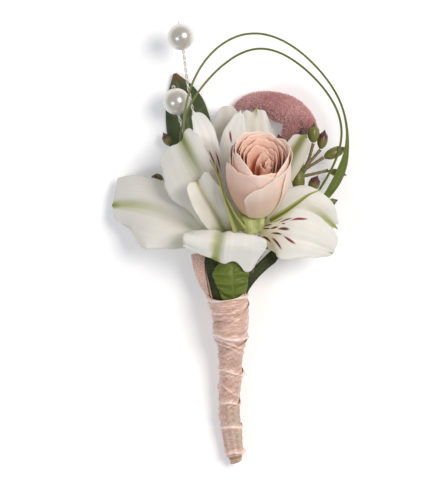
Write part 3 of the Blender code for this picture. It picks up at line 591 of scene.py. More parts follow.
STRIPED = tepal_skin("white_tepal_green_rib", stripe=(0.85, 0.26, 0.25, "#a3a873", 0.0),
                     ground=("#dfdbd3", "#d3cec5"))
# Its wide, dark green rib is partly the tepal's own green and partly painted shade in the crease along it.
STRIPED_DARK = tepal_skin("white_tepal_rib_and_painted_shade", stripe=(1.0, 0.50, 0.30, "#8a915e", 0.14),
                          ground=("#dfdcd4", "#d5d0c7"))
STRIPED_FOLDED = tepal_skin("white_tepal_folded", stripe=(1.0, 0.20, -0.6, "#9aa06a", 0.22),
                            throat=("#cdd0a2", 0.3))
STRIPED_RIGHT = tepal_skin("white_tepal_right_rib", stripe=(1.1, 0.34, 0.35, "#98a05e", 0.06))
CREASED = tepal_skin("white_tepal_creased", stripe=(0.75, 0.22, -1.2, "#a4a274", 0.02), throat=("#a9ab72", 0.8),
                     ground=("#dfdbcf", "#d3cebf"))
# Darker copies of the white tepal: painted shade for the tepals that lie in shadow behind the others.
SHADED = tepal_skin("white_tepal_back_painted_shade", ground=("#d9d5cd", "#c4beb3"))
SHADED_TOP = tepal_skin("white_tepal_top_painted_shade", stripe=(0.35, 0.5, 0.2, "#bdbb9c", 0.0), ground=("#e2dfd7", "#cfcabf"))
BACK_STRIPED = tepal_skin("white_tepal_outside", stripe=(1.1, 0.66, -0.8, "#7f7f50", -0.05),
                          ground=("#dad8ca", "#c9c6b4"))
FLECKED_TOP = tepal_skin("white_tepal_flecked_top", throat=("#9c8d58", 1.0), flecks=[
    (0.525, 0.61, 0.022, 0.076, 0.81), (0.42, 0.49, 0.040, 0.165, 0.80), (0.72, 0.47, 0.030, 0.10, 0.7),
    (0.60, 0.40, 0.030, 0.09, 0.75), (0.80, 0.58, 0.026, 0.08, 0.6)])
FLECKED_LEFT = tepal_skin("white_tepal_flecked_left", mark="#8a2a4b", flecks=[(0.34, 0.785, 0.020, 0.095, 1.08)])
FLECKED_RIGHT = tepal_skin("white_tepal_flecked_right", throat=("#d9c99c", 0.7),
                           stripe=(0.5, 0.10, 0.72, "#b9b57e", 0.2), flecks=[
    (0.020, 0.207, 0.010, 0.043, 0.16), (0.101, 0.230, 0.010, 0.046, -0.12), (0.173, 0.305, 0.013, 0.061, 0.02),
    (0.169, 0.450, 0.016, 0.088, 0.42), (0.070, 0.140, 0.009, 0.087, -1.14), (0.260, 0.197, 0.023, 0.038, -0.36),
    (0.339, 0.298, 0.025, 0.063, -0.36), (0.426, 0.220, 0.020, 0.066, -0.50), (0.550, 0.384, 0.020, 0.097, -0.72),
    (0.659, 0.231, 0.019, 0.130, -1.00), (0.517, 0.083, 0.017, 0.162, -1.32), (0.145, 0.119, 0.009, 0.113, -1.22),
    (0.235, 0.288, 0.009, 0.021, -0.63), (0.888, 0.030, 0.017, 0.160, -1.54)])

TEPAL_THICK = 0.40

# Each tepal: its stations, the side that its face looks to, its cup, wave and round end, then
# its finish and what is its own: its tip's outline, its relief and how far it draws out to a point.
TEPALS = {
    "floret_left_tepal_outer_left": (
        [(-3.8, 1.2, 11.7, 1.0, 1.0), (-9.2, 4.5, 13.4, 6.4, 4.5), (-16.1, 8.1, 14.2, 10.6, 7.5),
         (-22.7, 10.8, 13.0, 12.2, 8.8), (-28.7, 12.0, 10.4, 11.2, 8.8), (-35.5, 11.8, 5.6, 6.8, 8.6)],
        (0.0, 0.1, 1.0), (-0.14, 0.4, 0.04), STRIPED,
        {"relief": all_of(ruffle(1.0, 0.25), pleats(0.08, 5.0), crease(0.9, 0.16)),
         "tip": [(-1.0, 0.82), (-0.8, 0.94), (-0.5, 0.985), (0.0, 1.0), (0.5, 0.985), (0.9, 0.99), (1.0, 0.98)]}),
    "floret_left_tepal_outer_front": (
        [(-5.4, 1.9, 13.2, 1.0, 1.0), (-5.5, 6.6, 16.2, 5.0, 3.5), (-6.1, 12.3, 18.8, 9.2, 4.5),
         (-7.9, 17.9, 20.6, 11.0, 5.0), (-10.6, 22.7, 21.0, 11.0, 5.2), (-13.0, 26.9, 20.0, 10.0, 5.4),
         (-15.1, 31.0, 17.4, 8.2, 5.4)],
        (-0.2, 0.1, 1.0), (-0.12, 0.3, 0.06), STRIPED_DARK,
        {"relief": all_of(ruffle(2.0, 0.22), pleats(0.08, 5.0), crease(0.8, 0.2)),
         "tip": [(-1.0, 0.92), (-0.75, 0.99), (-0.4, 1.0), (-0.12, 0.985), (0.0, 0.975), (0.15, 1.0), (0.45, 1.06),
                 (0.75, 1.07), (1.0, 1.0)]}),
    "floret_left_tepal_outer_back": (
        [(-1.2, 4.4, 9.8, 1.0, 1.0), (-1.4, 16.3, 6.0, 4.2, 4.0), (-1.3, 27.0, 5.2, 6.2, 5.4),
         (-1.0, 35.1, 5.2, 6.2, 5.6), (-0.9, 41.8, 5.8, 5.0, 5.0)],
        (0.0, 0.0, 1.0), (0.06, 0.2, 0.22), SHADED,
        {"relief": all_of(ruffle(3.0, 0.15), pleats(0.10, 4.0)), "point": 0.0}),
    "floret_left_tepal_inner_top": (
        [(-3.2, 3.6, 12.0, 0.8, 0.8), (-4.4, 15.6, 14.6, 2.6, 2.6), (-5.2, 23.4, 15.8, 4.0, 3.0),
         (-6.7, 29.6, 16.6, 4.0, 3.2), (-8.5, 34.7, 16.6, 3.4, 3.2), (-10.9, 39.2, 15.4, 1.8, 2.6)],
        (0.2, 0.0, 1.0), (0.10, 0.1, 0.06), FLECKED_TOP, {"relief": all_of(ruffle(4.0, 0.12), pleats(0.07, 3.0))}),
    "floret_left_tepal_inner_front": (
        [(-1.6, 2.4, 15.2, 2.6, 3.6), (-3.6, 7.0, 20.0, 4.2, 5.4), (-6.7, 12.3, 23.4, 4.6, 5.6),
         (-8.8, 16.0, 24.8, 4.4, 5.0), (-10.4, 19.3, 24.8, 3.6, 4.4)],
        (0.0, 0.1, 1.0), (0.16, 0.1, 0.06), CREASED,
        {"relief": all_of(ruffle(5.0, 0.22), crease(1.1, 0.22, centre=0.1)),
         "tip": [(-1.0, 0.93), (-0.6, 0.99), (-0.1, 0.96), (0.2, 0.97), (0.7, 1.03), (1.0, 1.0)]}),
    "floret_left_tepal_inner_back": (
        [(-3.4, 3.8, 10.0, 0.8, 0.8), (-11.6, 11.8, 8.0, 3.6, 3.6), (-18.0, 16.0, 5.0, 2.8, 2.8)],
        (0.0, 0.0, 1.0), (0.08, 0.1, 0.1), SHADED, {"relief": pleats(0.08, 3.0)}),
    "floret_right_tepal_outer_bottom": (
        [(0.3, 0.6, 14.8, 3.0, 2.0), (0.1, 3.2, 18.6, 7.2, 5.6), (-0.4, 3.5, 21.6, 10.6, 11.4),
         (-1.0, -0.2, 23.0, 12.0, 13.4), (-1.6, -5.0, 20.4, 9.4, 13.0)],
        ((-0.06, 1.0, 0.1), (0.04, -0.5, 0.9)), (-0.12, 0.4, 0.06), STRIPED_FOLDED,
        {"relief": all_of(ruffle(6.0, 0.35), pleats(0.08, 5.0), crease(0.7, 0.14, centre=0.22)),
         "tip": [(-1.0, 1.0), (-0.88, 1.16), (-0.68, 1.2), (-0.5, 1.08), (-0.3, 1.0), (0.0, 1.03), (0.2, 1.04),
                 (0.35, 0.98), (0.6, 0.93), (0.8, 0.89), (1.0, 0.84)]}),
    "floret_right_tepal_outer_right": (
        [(9.5, 3.6, 11.6, 1.0, 1.0), (15.5, 8.1, 14.0, 4.4, 4.0), (20.8, 10.8, 14.6, 6.6, 5.2),
         (25.4, 9.9, 13.2, 6.2, 5.2), (29.1, 7.5, 10.8, 5.0, 4.6), (31.8, 5.1, 8.2, 3.2, 2.8)],
        (0.0, 0.0, 1.0), (-0.10, 0.3, 0.05), STRIPED_RIGHT,
        {"relief": all_of(ruffle(7.0, 0.25), pleats(0.08, 4.0), crease(0.5, 0.2)),
         "tip": [(-1.0, 0.9), (-0.5, 0.99), (-0.15, 0.98), (0.0, 1.03), (0.2, 0.985), (0.6, 1.02), (1.0, 0.97)]}),
    "floret_right_tepal_outer_top": (
        [(6.6, 5.4, 9.0, 1.0, 1.0), (7.4, 16.3, 8.0, 4.4, 4.4), (8.0, 25.3, 8.8, 6.2, 6.0),
         (7.9, 32.8, 10.0, 6.4, 5.6), (7.8, 40.4, 11.2, 5.0, 4.0)],
        (0.0, 0.0, 1.0), (0.05, 0.2, 0.05), SHADED_TOP,
        {"relief": all_of(ruffle(8.0, 0.2), pleats(0.22, 4.0, 0.6)),
         "tip": [(-1.0, 0.95), (-0.6, 1.0), (-0.25, 0.975), (0.0, 0.99), (0.35, 1.0), (0.7, 0.98), (1.0, 0.88)]}),
    "floret_right_tepal_inner_right": (
        [(9.0, 1.4, 14.8, 1.6, 2.6), (13.0, 2.4, 17.2, 5.0, 6.0), (17.8, 1.8, 18.8, 9.0, 6.9),
         (23.2, 0.6, 18.4, 8.6, 5.0), (27.4, -0.9, 16.2, 7.0, 3.8), (31.0, -2.4, 12.8, 4.6, 2.4)],
        (0.0, -0.1, 1.0), (-0.08, 0.3, 0.05), FLECKED_RIGHT,
        {"relief": all_of(ruffle(9.0, 0.22), pleats(0.08, 4.0), crease(0.5, 0.12))}),
    "floret_right_tepal_inner_top_left": (
        [(3.9, 5.2, 11.6, 0.8, 0.8), (1.7, 16.3, 11.0, 3.6, 3.6), (0.8, 25.9, 11.8, 4.2, 4.2),
         (1.4, 33.1, 12.8, 3.8, 3.8), (2.9, 39.4, 13.6, 2.0, 2.0)],
        (-0.1, 0.0, 1.0), (0.08, 0.1, 0.06), FLECKED_LEFT,
        {"relief": all_of(ruffle(10.0, 0.12), pleats(0.08, 3.0))}),
    "floret_right_tepal_inner_top_right": (
        [(8.4, 6.6, 10.6, 0.9, 0.9), (11.9, 14.7, 12.2, 3.4, 2.6), (16.4, 22.8, 15.4, 4.2, 4.0),
         (19.6, 28.2, 16.8, 3.8, 3.6), (22.0, 32.1, 17.6, 3.2, 3.2)],
        (0.1, -0.1, 1.0), (0.20, 0.1, 0.04), BACK_STRIPED,
        {"relief": all_of(ruffle(11.0, 0.1), pleats(0.06, 3.0))}),
}
for name, (stations, facing, (cup, wave, round_end), skin, own) in TEPALS.items():
    tepal = blade(stations, facing, TEPAL_THICK, cup=cup, wave=wave, round_end=round_end,
                  flare=narrowed(len(name), 0.020), **{"point": 0.03, **own})
    show(name, new_mesh(name, skin, tepal))

# Pistils: a pale green style that ends in three short arms.
pistil_skin, tree, shader = new_finish("pale_green_pistil", {
    "Roughness": 0.4, "Subsurface Weight": 0.2, "Subsurface Radius": (0.8, 1.0, 0.4), "Subsurface Scale": 0.0005})
_, along = growth_shares(tree)
coloured(tree, shader, "#9aa35c", [("#dcd6b4", along)])

PISTILS = {
    "floret_left_pistil": [(-1.4, 4.6, 13.6), (-0.4, 9.6, 17.0), (-1.6, 15.6, 18.6)],
    "floret_right_pistil": [(9.2, 4.6, 14.4), (11.2, 8.4, 18.2), (13.4, 12.0, 20.2)],
}
for name, points in PISTILS.items():
    style = smooth_line(points, 40)
    way = unit(style[-1] - style[-4])
    aside = unit(np.cross(way, TOWARDS_VIEWER))
    arms = []
    for turn in (0.0, 2 * np.pi / 3, 4 * np.pi / 3):
        out = np.cos(turn) * aside + np.sin(turn) * np.cross(way, aside)
        arm = smooth_line([style[-8], style[-4] + 0.1 * out, style[-1] + 0.35 * out], 12)
        arms.append(tube_part(arm, np.linspace(0.2, 0.14, 12), sides=10))
    style = tube_part(style[:-6], np.linspace(0.4, 0.28, 34), sides=12)
    show(name, new_mesh(name, pistil_skin, style, *arms))


# ------------------------------------------------------------------------- rose
# A half open spray rose: layers of cupped petals round a coiled heart, blush outside and apricot where they are deep
# and young, which is partly their own colour and partly painted light, the warm glow bounced round the throat. It
# stands on a green hip with long, pale edged sepals.

ROSE_BASE = np.array((7.6, 10.4, 22.8))
ROSE_AXIS = unit((0.06, 0.77, 0.63))
ROSE_FRONT = unit(np.array(TOWARDS_VIEWER) - ROSE_AXIS[2] * ROSE_AXIS)
ROSE_RIGHT = np.cross(-ROSE_FRONT, ROSE_AXIS)
ROSE_RADIUS = 9.6
ROSE_HEIGHT = 24.4


def on_rose(x, y, z):
    """Places in the rose's own frame: x to its right, y to its back, z up its axis from its base."""
    return ROSE_BASE + x[..., None] * ROSE_RIGHT - y[..., None] * ROSE_FRONT + z[..., None] * ROSE_AXIS


def rose_skin(name, root, belly, rim, deep="#d98f66"):
    """Rose petal: a velvety skin whose colour runs from its root to its rim, with fine veins fanning up it."""
    made, tree, shader = new_finish(name, {
        "Roughness": 0.55, "Specular IOR Level": 0.3, "Subsurface Weight": 0.15,
        "Subsurface Radius": (1.0, 0.9, 0.8), "Subsurface Scale": 0.0006, "Sheen Weight": 0.12,
        "Sheen Roughness": 0.5, "Sheen Tint": linear("#ffe9dd")})
    _, along = growth_shares(tree)
    # Veins about 0.5 mm apart on a petal some 12 mm across.
    veins = drawn_out(tree, 24.0, 2.0, detail=3.0)
    wander = add_node(tree, "ShaderNodeMath", {0: veins, 1: 0.12, 2: along}, operation="MULTIPLY_ADD")
    ramp = add_node(tree, "ShaderNodeValToRGB", {0: wander.outputs[0]})
    ramp.color_ramp.elements[0].position = 0.12
    ramp.color_ramp.elements[0].color = linear(root)
    ramp.color_ramp.elements[1].position = 1.04
    ramp.color_ramp.elements[1].color = linear(rim)
    middle = ramp.color_ramp.elements.new(0.62)
    middle.color = linear(belly)
    coloured(tree, shader, ramp.outputs[0], [(deep, veins, 0.45, 0.75, 0.0, 0.22)], relief=(veins, 0.4, 0.0001))
    return made


BLUSH = rose_skin("rose_petal_blush", "#c79f7c", "#cba08a", "#e8cbbb", deep="#bd8a6e")
CREAM = rose_skin("rose_petal_cream", "#cdb795", "#d7b9a5", "#ecd8ca", deep="#c99f86")
# The deep orange towards the roots of the peach and apricot petals is partly the rose's own colour and partly painted
# light bounced round its throat.
PEACH = rose_skin("rose_petal_peach", "#e29a6c", "#e9b49d", "#f6ddd1", deep="#dba186")
APRICOT = rose_skin("rose_petal_apricot", "#ee8048", "#ef9e72", "#f7d3c1", deep="#cf7c54")


def rose_profile(along, root, fullness, lean):
    """A rose petal's radius along it: from its root through a full belly to a rim that leans."""
    belly = np.sin(np.pi * np.minimum(0.5, 0.70 * along)) ** 0.8
    return root + (fullness - root) * belly * (1 - (0.22 - lean) * ease((along - 0.55) / 0.45))


def rose_petal(layer, centre, seed, curl=0.6, columns=41, rows=49, offset=(0.0, 0.0), span=None, thick=0.34,
               slope=0.0, tall=1.0):
    """One petal of a layer, which laps over one neighbour and under the other, with a rim that rolls out.

    slope tips its rim to one side, and tall is its height beside the others of its layer.
    """
    count, _, root, fullness, height, lean, start = layer
    span = span or 360.0 / count + 32.0
    u, v = across_and_along(columns, rows)
    rim = 1 + 0.020 * np.sin(3.1 * u + seed) + 0.013 * np.sin(8.3 * u + 2.1 * seed) + 0.006 * np.sin(19 * u + seed)
    reach = v * (1 - 0.11 * np.abs(u) ** 2.2 - 0.20 * np.abs(u) ** 7) * rim * (tall + slope * u)
    rolled = ease((v - 0.80) / 0.20) ** 2
    radius = rose_profile(reach, root, fullness, lean) - 0.25 * u + curl * rolled * (1 - 0.6 * np.abs(u))
    radius = radius + (0.14 * np.sin(2.7 * u + 5 * v + seed) + 0.05 * np.sin(11 * u + 3 * seed)) * v
    angle = np.radians(centre + span / 2 * u)
    z = start + height * reach - 0.5 * curl * rolled**2
    middle = on_rose(radius * np.cos(angle) + offset[0], radius * np.sin(angle) + offset[1], z)
    return sheet_part(middle, thick * (1 - 0.55 * v**3))


ROSE_LAYERS = {
    "outer": (5, 226.0, 4.6, ROSE_RADIUS, ROSE_HEIGHT * 0.84, 0.07, 0.4),
    "middle": (3, 250.0, 3.8, ROSE_RADIUS - 0.42, ROSE_HEIGHT * 0.90, 0.03, 0.8),
    "inner": (3, 310.0, 3.0, ROSE_RADIUS - 0.85, ROSE_HEIGHT * 0.885, -0.02, 1.2),
}
# The petals in front are lower than those behind, and one slants.
ROSE_RIMS = {"rose_petal_outer_1": (-0.02, 0.93), "rose_petal_outer_2": (0.17, 0.86),
             "rose_petal_middle_1": (0.0, 0.84), "rose_petal_inner_1": (0.0, 0.86)}
ROSE_CURLS = {"outer": 0.55, "middle": 0.35, "inner": 0.2}
ROSE_FINISHES = {"outer": [BLUSH, CREAM, CREAM, CREAM, BLUSH], "middle": [PEACH, PEACH, PEACH],
                 "inner": [APRICOT, PEACH, PEACH]}
for ring, layer in ROSE_LAYERS.items():
    for i in range(layer[0]):
        name = f"rose_petal_{ring}_{i + 1}"
        slope, tall = ROSE_RIMS.get(name, (0.0, 1.0))
        petal = rose_petal(layer, layer[1] + 360.0 / layer[0] * i, seed=1.7 * i + len(ring), curl=ROSE_CURLS[ring],
                           slope=slope, tall=tall)
        slot = "rose_inner" if ring == "inner" else "rose_outer"
        show(name, new_mesh(name, ROSE_FINISHES[ring][i], petal))

# The heart: small petals coiled to one side of a deep throat. Each has its turn, its radius,
# its span, its height and where its coil's centre lies.
HEART = [
    (60, 8.1, 130, 20.9, 0.0, 0.0), (175, 8.1, 125, 19.8, 0.0, 0.0), (0, 7.7, 110, 19.4, 0.0, 0.0),
    (225, 7.6, 110, 16.4, 0.0, 0.0), (90, 7.4, 110, 20.7, 0.0, 0.0), (115, 7.1, 125, 20.5, 0.0, 0.0),
    (205, 6.9, 110, 18.2, 0.0, 0.0), (40, 6.5, 120, 19.6, 0.0, 0.0), (150, 6.3, 120, 19.2, 0.0, 0.0),
    (80, 5.7, 150, 20.2, 0.0, 0.0), (155, 5.2, 120, 18.8, 0.0, 0.0), (25, 5.0, 120, 18.6, 0.0, 0.0),
    (110, 4.3, 140, 18.6, 0.0, 0.0), (55, 3.6, 120, 17.8, 0.3, 0.2), (175, 3.7, 90, 17.0, -0.2, 0.0),
    (275, 4.8, 110, 13.2, 0.0, 0.0), (325, 3.6, 100, 14.2, 0.6, 0.0), (85, 2.6, 130, 16.9, 0.9, 0.2),
    (200, 1.8, 140, 15.2, 2.3, 0.1), (40, 1.7, 170, 16.3, 2.1, 0.1), (300, 1.3, 180, 15.4, 2.2, 0.1),
    (120, 0.9, 230, 16.0, 2.3, 0.1), (310, 0.5, 260, 16.0, 2.4, 0.0),
]
heart = []
for i, (centre, radius, span, height, *offset) in enumerate(HEART):
    layer = (1, 0.0, 0.4 * radius, radius, height, 0.16, 1.6)
    heart.append(rose_petal(layer, centre, seed=2.3 * i, curl=0.15, columns=31, rows=37, offset=offset, span=span,
                            thick=0.28))
show("rose_core", new_mesh("rose_heart", APRICOT, *heart))

# Hip and sepals: a smooth green cup with five shallow flats, a little bloom on it, and sepals with pale edges.
hip_skin, tree, shader = new_finish("green_rose_hip_skin", {
    "Roughness": 0.38, "Specular IOR Level": 0.45, "Subsurface Weight": 0.2,
    "Subsurface Radius": (0.8, 1.0, 0.3), "Subsurface Scale": 0.0008})
cross, _ = growth_shares(tree)
coloured(tree, shader, "#7f8a32", [
    ("#c3c77c", drawn_out(tree, 12.0, 2.0), 0.38, 0.62, 0.0, 1.0),
    ("#cfcf96", off_rib(tree, cross), 0.55, 0.95, 0.0, 0.35)],
    relief=(mottled(tree, 420.0, detail=3.0), 0.25, 0.0001))

HIP = [(-3.6, 0.6), (-3.4, 1.5), (-2.8, 2.7), (-1.2, 3.7), (0.8, 4.05), (3.0, 4.05), (3.9, 3.5), (4.15, 3.0)]
HIP_SIDES = 40
profile = smooth_outline(HIP, 40)
hip_axis = (ROSE_BASE - 4.4 * ROSE_AXIS + (-1.2, -0.7, 0.0)) + profile[:, :1] * ROSE_AXIS
flats = 1 - 0.10 * (1 - np.abs(np.cos(2.5 * full_turn(HIP_SIDES))))[None, :]
hip = tube_part(hip_axis, profile[:, 1:2] * flats, sides=HIP_SIDES)
show("rose_hip", new_mesh("rose_hip", hip_skin, hip))

# Sepals are dark green down the middle, with a pale yellow edge.
sepal_skin, tree, shader = new_finish("dark_sepal_pale_edge", {
    "Roughness": 0.45, "Specular IOR Level": 0.4, "Subsurface Weight": 0.1, "Subsurface Radius": (0.4, 0.8, 0.2),
    "Subsurface Scale": 0.0005})
cross, _ = growth_shares(tree)
coloured(tree, shader, "#4d5a1e", [
    ("#7c8238", drawn_out(tree, 8.0, 12.0)), ("#b6b06a", off_rib(tree, cross, 0.15), 0.35, 0.75, 0.0, 1.0)])

SEPAL_THICK = 0.34
SEPALS = {
    "rose_sepal_left": (
        [(2.9, 3.9, 22.4, 2.3, 2.3), (0.4, 8.7, 26.8, 1.1, 1.1), (-1.9, 14.2, 29.6, 0.5, 0.5),
         (-3.4, 19.6, 29.4, 0.38, 0.38), (-6.2, 25.0, 26.6, 0.14, 0.14)], (-0.3, 0.1, 1.0)),
    "rose_sepal_right": (
        [(11.9, 7.0, 21.0, 1.2, 1.2), (15.6, 9.2, 22.8, 1.0, 1.0), (19.6, 12.0, 23.2, 0.8, 0.8),
         (23.2, 14.6, 21.8, 0.5, 0.5), (26.8, 16.2, 19.2, 0.15, 0.15)], (-0.3, 0.6, 0.8)),
}
for name, (stations, facing) in SEPALS.items():
    sepal = blade(stations, facing, SEPAL_THICK, columns=15, rows=60, round_end=0.0, relief=crease(0.25, 0.3))
    show(name, new_mesh(name, sepal_skin, sepal))


# ------------------------------------------------------------------- cockscomb
# A crest of celosia that arches over from its narrow neck: a fleshy fan covered all over in
# short, soft bristles, which look like velvet, dusty pink outside and darker in its folds.

CREST = [(1.2, 40.6, 2.0), (3.0, 42.0, 2.4), (6.0, 43.0, 3.6), (9.5, 43.0, 4.8), (13.7, 42.3, 5.7),
         (17.9, 41.0, 6.1), (21.4, 38.6, 6.2), (23.9, 35.6, 6.0), (24.6, 33.6, 5.6)]
NECK = [(19.6, 38.0, 5.9), (18.6, 34.4, 5.6), (16.8, 30.2, 5.0)]
CREST_RADIUS, CREST_RINGS = 3.95, 60
NECK_RADIUS, NECK_RINGS = 3.3, 30
PILE = 0.75
BRISTLE_RADIUS = 0.13

# Velvet pile: dull when seen end on, with a pale sheen at its edges. Its bristles are painted pale at their tips over
# a deeper pink ground, partly the pile's own colour and partly painted shade down in the pile.
velvet, tree, shader = new_finish("celosia_velvet_pile", {
    "Roughness": 0.9, "Specular IOR Level": 0.1, "Sheen Weight": 0.6, "Sheen Roughness": 0.35,
    "Sheen Tint": linear("#f0c9cc"), "Subsurface Weight": 0.1, "Subsurface Radius": (1.0, 0.4, 0.4),
    "Subsurface Scale": 0.0006})
tip = add_node(tree, "ShaderNodeAttribute", attribute_name="tip").outputs["Fac"]
coloured(tree, shader, "#bc8787", [
    ("#f6d0cd", tip), ("#c48889", mottled(tree, 420.0), 0.45, 0.7, 0.0, 0.5),
    ("#f2d2cf", mottled(tree, 120.0), 0.45, 0.7, 0.0, 0.4)])


def bristle_tree():
    """Short tapering bristles scattered over a surface and leaning a little each way, joined with that surface."""
    made = bpy.data.node_groups.new("velvet_bristles", "GeometryNodeTree")
    kinds = [("Surface", "NodeSocketGeometry"), ("Length", "NodeSocketFloat"), ("Thickness", "NodeSocketFloat"),
             ("Density", "NodeSocketFloat"), ("Lean", "NodeSocketFloat"), ("Seed", "NodeSocketInt"),
             ("Finish", "NodeSocketMaterial")]
    for label, kind in kinds:
        made.interface.new_socket(name=label, in_out="INPUT", socket_type=kind)
    made.interface.new_socket(name="Pile", in_out="OUTPUT", socket_type="NodeSocketGeometry")
    given = add_node(made, "NodeGroupInput").outputs
    scatter = add_node(made, "GeometryNodeDistributePointsOnFaces", {
        "Mesh": given["Surface"], "Density": given["Density"], "Seed": given["Seed"]})
    bristle = add_node(made, "GeometryNodeMeshCone", {
        "Vertices": 4, "Radius Bottom": given["Thickness"], "Depth": given["Length"]}, fill_type="NONE")
    height = add_node(made, "ShaderNodeSeparateXYZ", {0: add_node(made, "GeometryNodeInputPosition").outputs[0]})
    share = add_node(made, "ShaderNodeMath", {0: height.outputs[2], 1: given["Length"]}, operation="DIVIDE")
    bristle = add_node(made, "GeometryNodeStoreNamedAttribute", {
        "Geometry": bristle.outputs["Mesh"], "Name": "tip", "Value": share.outputs[0]})
    back = add_node(made, "ShaderNodeMath", {0: given["Lean"], 1: -1.0}, operation="MULTIPLY")
    lean = add_node(made, "FunctionNodeRandomValue", {
        "Min": add_node(made, "ShaderNodeCombineXYZ", {0: back.outputs[0], 1: back.outputs[0]}).outputs[0],
        "Max": add_node(made, "ShaderNodeCombineXYZ", {0: given["Lean"], 1: given["Lean"]}).outputs[0],
        "Seed": given["Seed"]}, data_type="FLOAT_VECTOR")
    tilt = add_node(made, "FunctionNodeEulerToRotation", {0: lean.outputs["Value"]})
    turned = add_node(made, "FunctionNodeRotateRotation", {
        "Rotation": scatter.outputs["Rotation"], "Rotate By": tilt.outputs[0]}, rotation_space="LOCAL")
    grown = add_node(made, "FunctionNodeRandomValue", {2: 0.65, 3: 1.15, "Seed": given["Seed"]})
    pile = add_node(made, "GeometryNodeInstanceOnPoints", {
        "Points": scatter.outputs["Points"], "Instance": bristle.outputs["Geometry"],
        "Rotation": turned.outputs[0], "Scale": grown.outputs[1]})
    pile = add_node(made, "GeometryNodeRealizeInstances", {0: pile.outputs[0]})
    whole = add_node(made, "GeometryNodeJoinGeometry")
    made.links.new(given["Surface"], whole.inputs[0])
    made.links.new(pile.outputs[0], whole.inputs[0])
    covered = add_node(made, "GeometryNodeSetMaterial", {"Geometry": whole.outputs[0], "Material": given["Finish"]})
    add_node(made, "NodeGroupOutput", {0: covered.outputs[0]})
    return made


def baked(name, base, tree=None, given=None, prepare=None):
    """The plain mesh that a Geometry Nodes tree, or the modifiers that prepare adds, make of a base mesh."""
    maker = add_object(name + "_maker", base)
    if prepare:
        prepare(maker)
    if tree:
        nodes = maker.modifiers.new("nodes", "NODES")
        nodes.node_group = tree
        sockets = {item.name: item.identifier for item in tree.interface.items_tree if item.in_out == "INPUT"}
        for label, value in given.items():
            nodes[sockets[label]] = value
    bpy.context.view_layer.update()
    made = bpy.data.meshes.new_from_object(maker.evaluated_get(bpy.context.evaluated_depsgraph_get()))
    made.name = name
    bpy.data.objects.remove(maker)
    return made


VOXEL = 0.4


def fused(maker):
    """Joins overlapping solids into one skin, then smooths it."""
    remesh = maker.modifiers.new("fuse", "REMESH")
    remesh.mode = "VOXEL"
    remesh.voxel_size = VOXEL * MM
    smooth = maker.modifiers.new("smooth", "SMOOTH")
    smooth.iterations = 4


def crest_swell(share):
    """How full the crest is at shares of its length, beside its fullest."""
    return 0.12 + 0.88 * np.sin(np.pi * (0.04 + 0.84 * share)) ** 0.8


crest_line = smooth_line(CREST, CREST_RINGS)
neck_line = smooth_line(NECK, NECK_RINGS)
crest_radius = CREST_RADIUS * crest_swell(np.linspace(0, 1, CREST_RINGS)) - 0.8 * PILE
neck_radius = NECK_RADIUS * (1 - 0.60 * np.linspace(0, 1, NECK_RINGS)) - 0.5 * PILE
solids = [tube_part(crest_line, crest_radius[:, None], 32), tube_part(neck_line, neck_radius[:, None], 32)]
flesh = baked("cockscomb_flesh", new_mesh("cockscomb_flesh", velvet, *solids), prepare=fused)
# The fan is pleated round its inner edge, as a crest is where it crowds on its neck.
spots = np.empty(len(flesh.vertices) * 3)
flesh.vertices.foreach_get("co", spots)
spots = spots.reshape(-1, 3)
middle = placed([(15.5, 37.0, 5.6)])[0]
spin = np.arctan2(spots[:, 1] - middle[1], spots[:, 0] - middle[0])
from_middle = np.linalg.norm((spots - middle)[:, :2], axis=1) / MM
depth = 0.22 * np.sin(17 * spin + 1.5 * np.sin(3 * spin)) * np.exp(-((from_middle - 3.0) / 3.5) ** 2)
spots[:, :2] += (spots - middle)[:, :2] / np.maximum(from_middle, 1.0)[:, None] * depth[:, None]
# It hangs a little lower over the hollow between fan and neck.
x, y = ((spots - placed([(0.0, 0.0, 0.0)])[0]) / MM)[:, :2].T
spots[:, 1] -= MM * 1.8 * np.exp(-((y - 38.0) / 2.2) ** 2 - ((x - 13.8) / 4.0) ** 2)
spots[:, 0] -= MM * 0.7 * np.exp(-((x - 16.2) / 1.5) ** 2 - ((y - 34.0) / 4.0) ** 2)
flesh.vertices.foreach_set("co", spots.ravel())
flesh.shade_smooth()
crest = baked("cockscomb_crest", flesh, bristle_tree(), {
    "Length": PILE * MM, "Thickness": BRISTLE_RADIUS * MM, "Density": 1.3e7, "Lean": 0.55, "Seed": 7,
    "Finish": velvet})
show("cockscomb_crest", crest)


# ---------------------------------------------------------------------- leaves
# A broad dark leaf with a red tip stands behind the pearls, and three leaves collar the
# stems: a bright ruffled one in front, a dark one at its left and a dark strap at its right.

VEIN_SLANT = 2.4


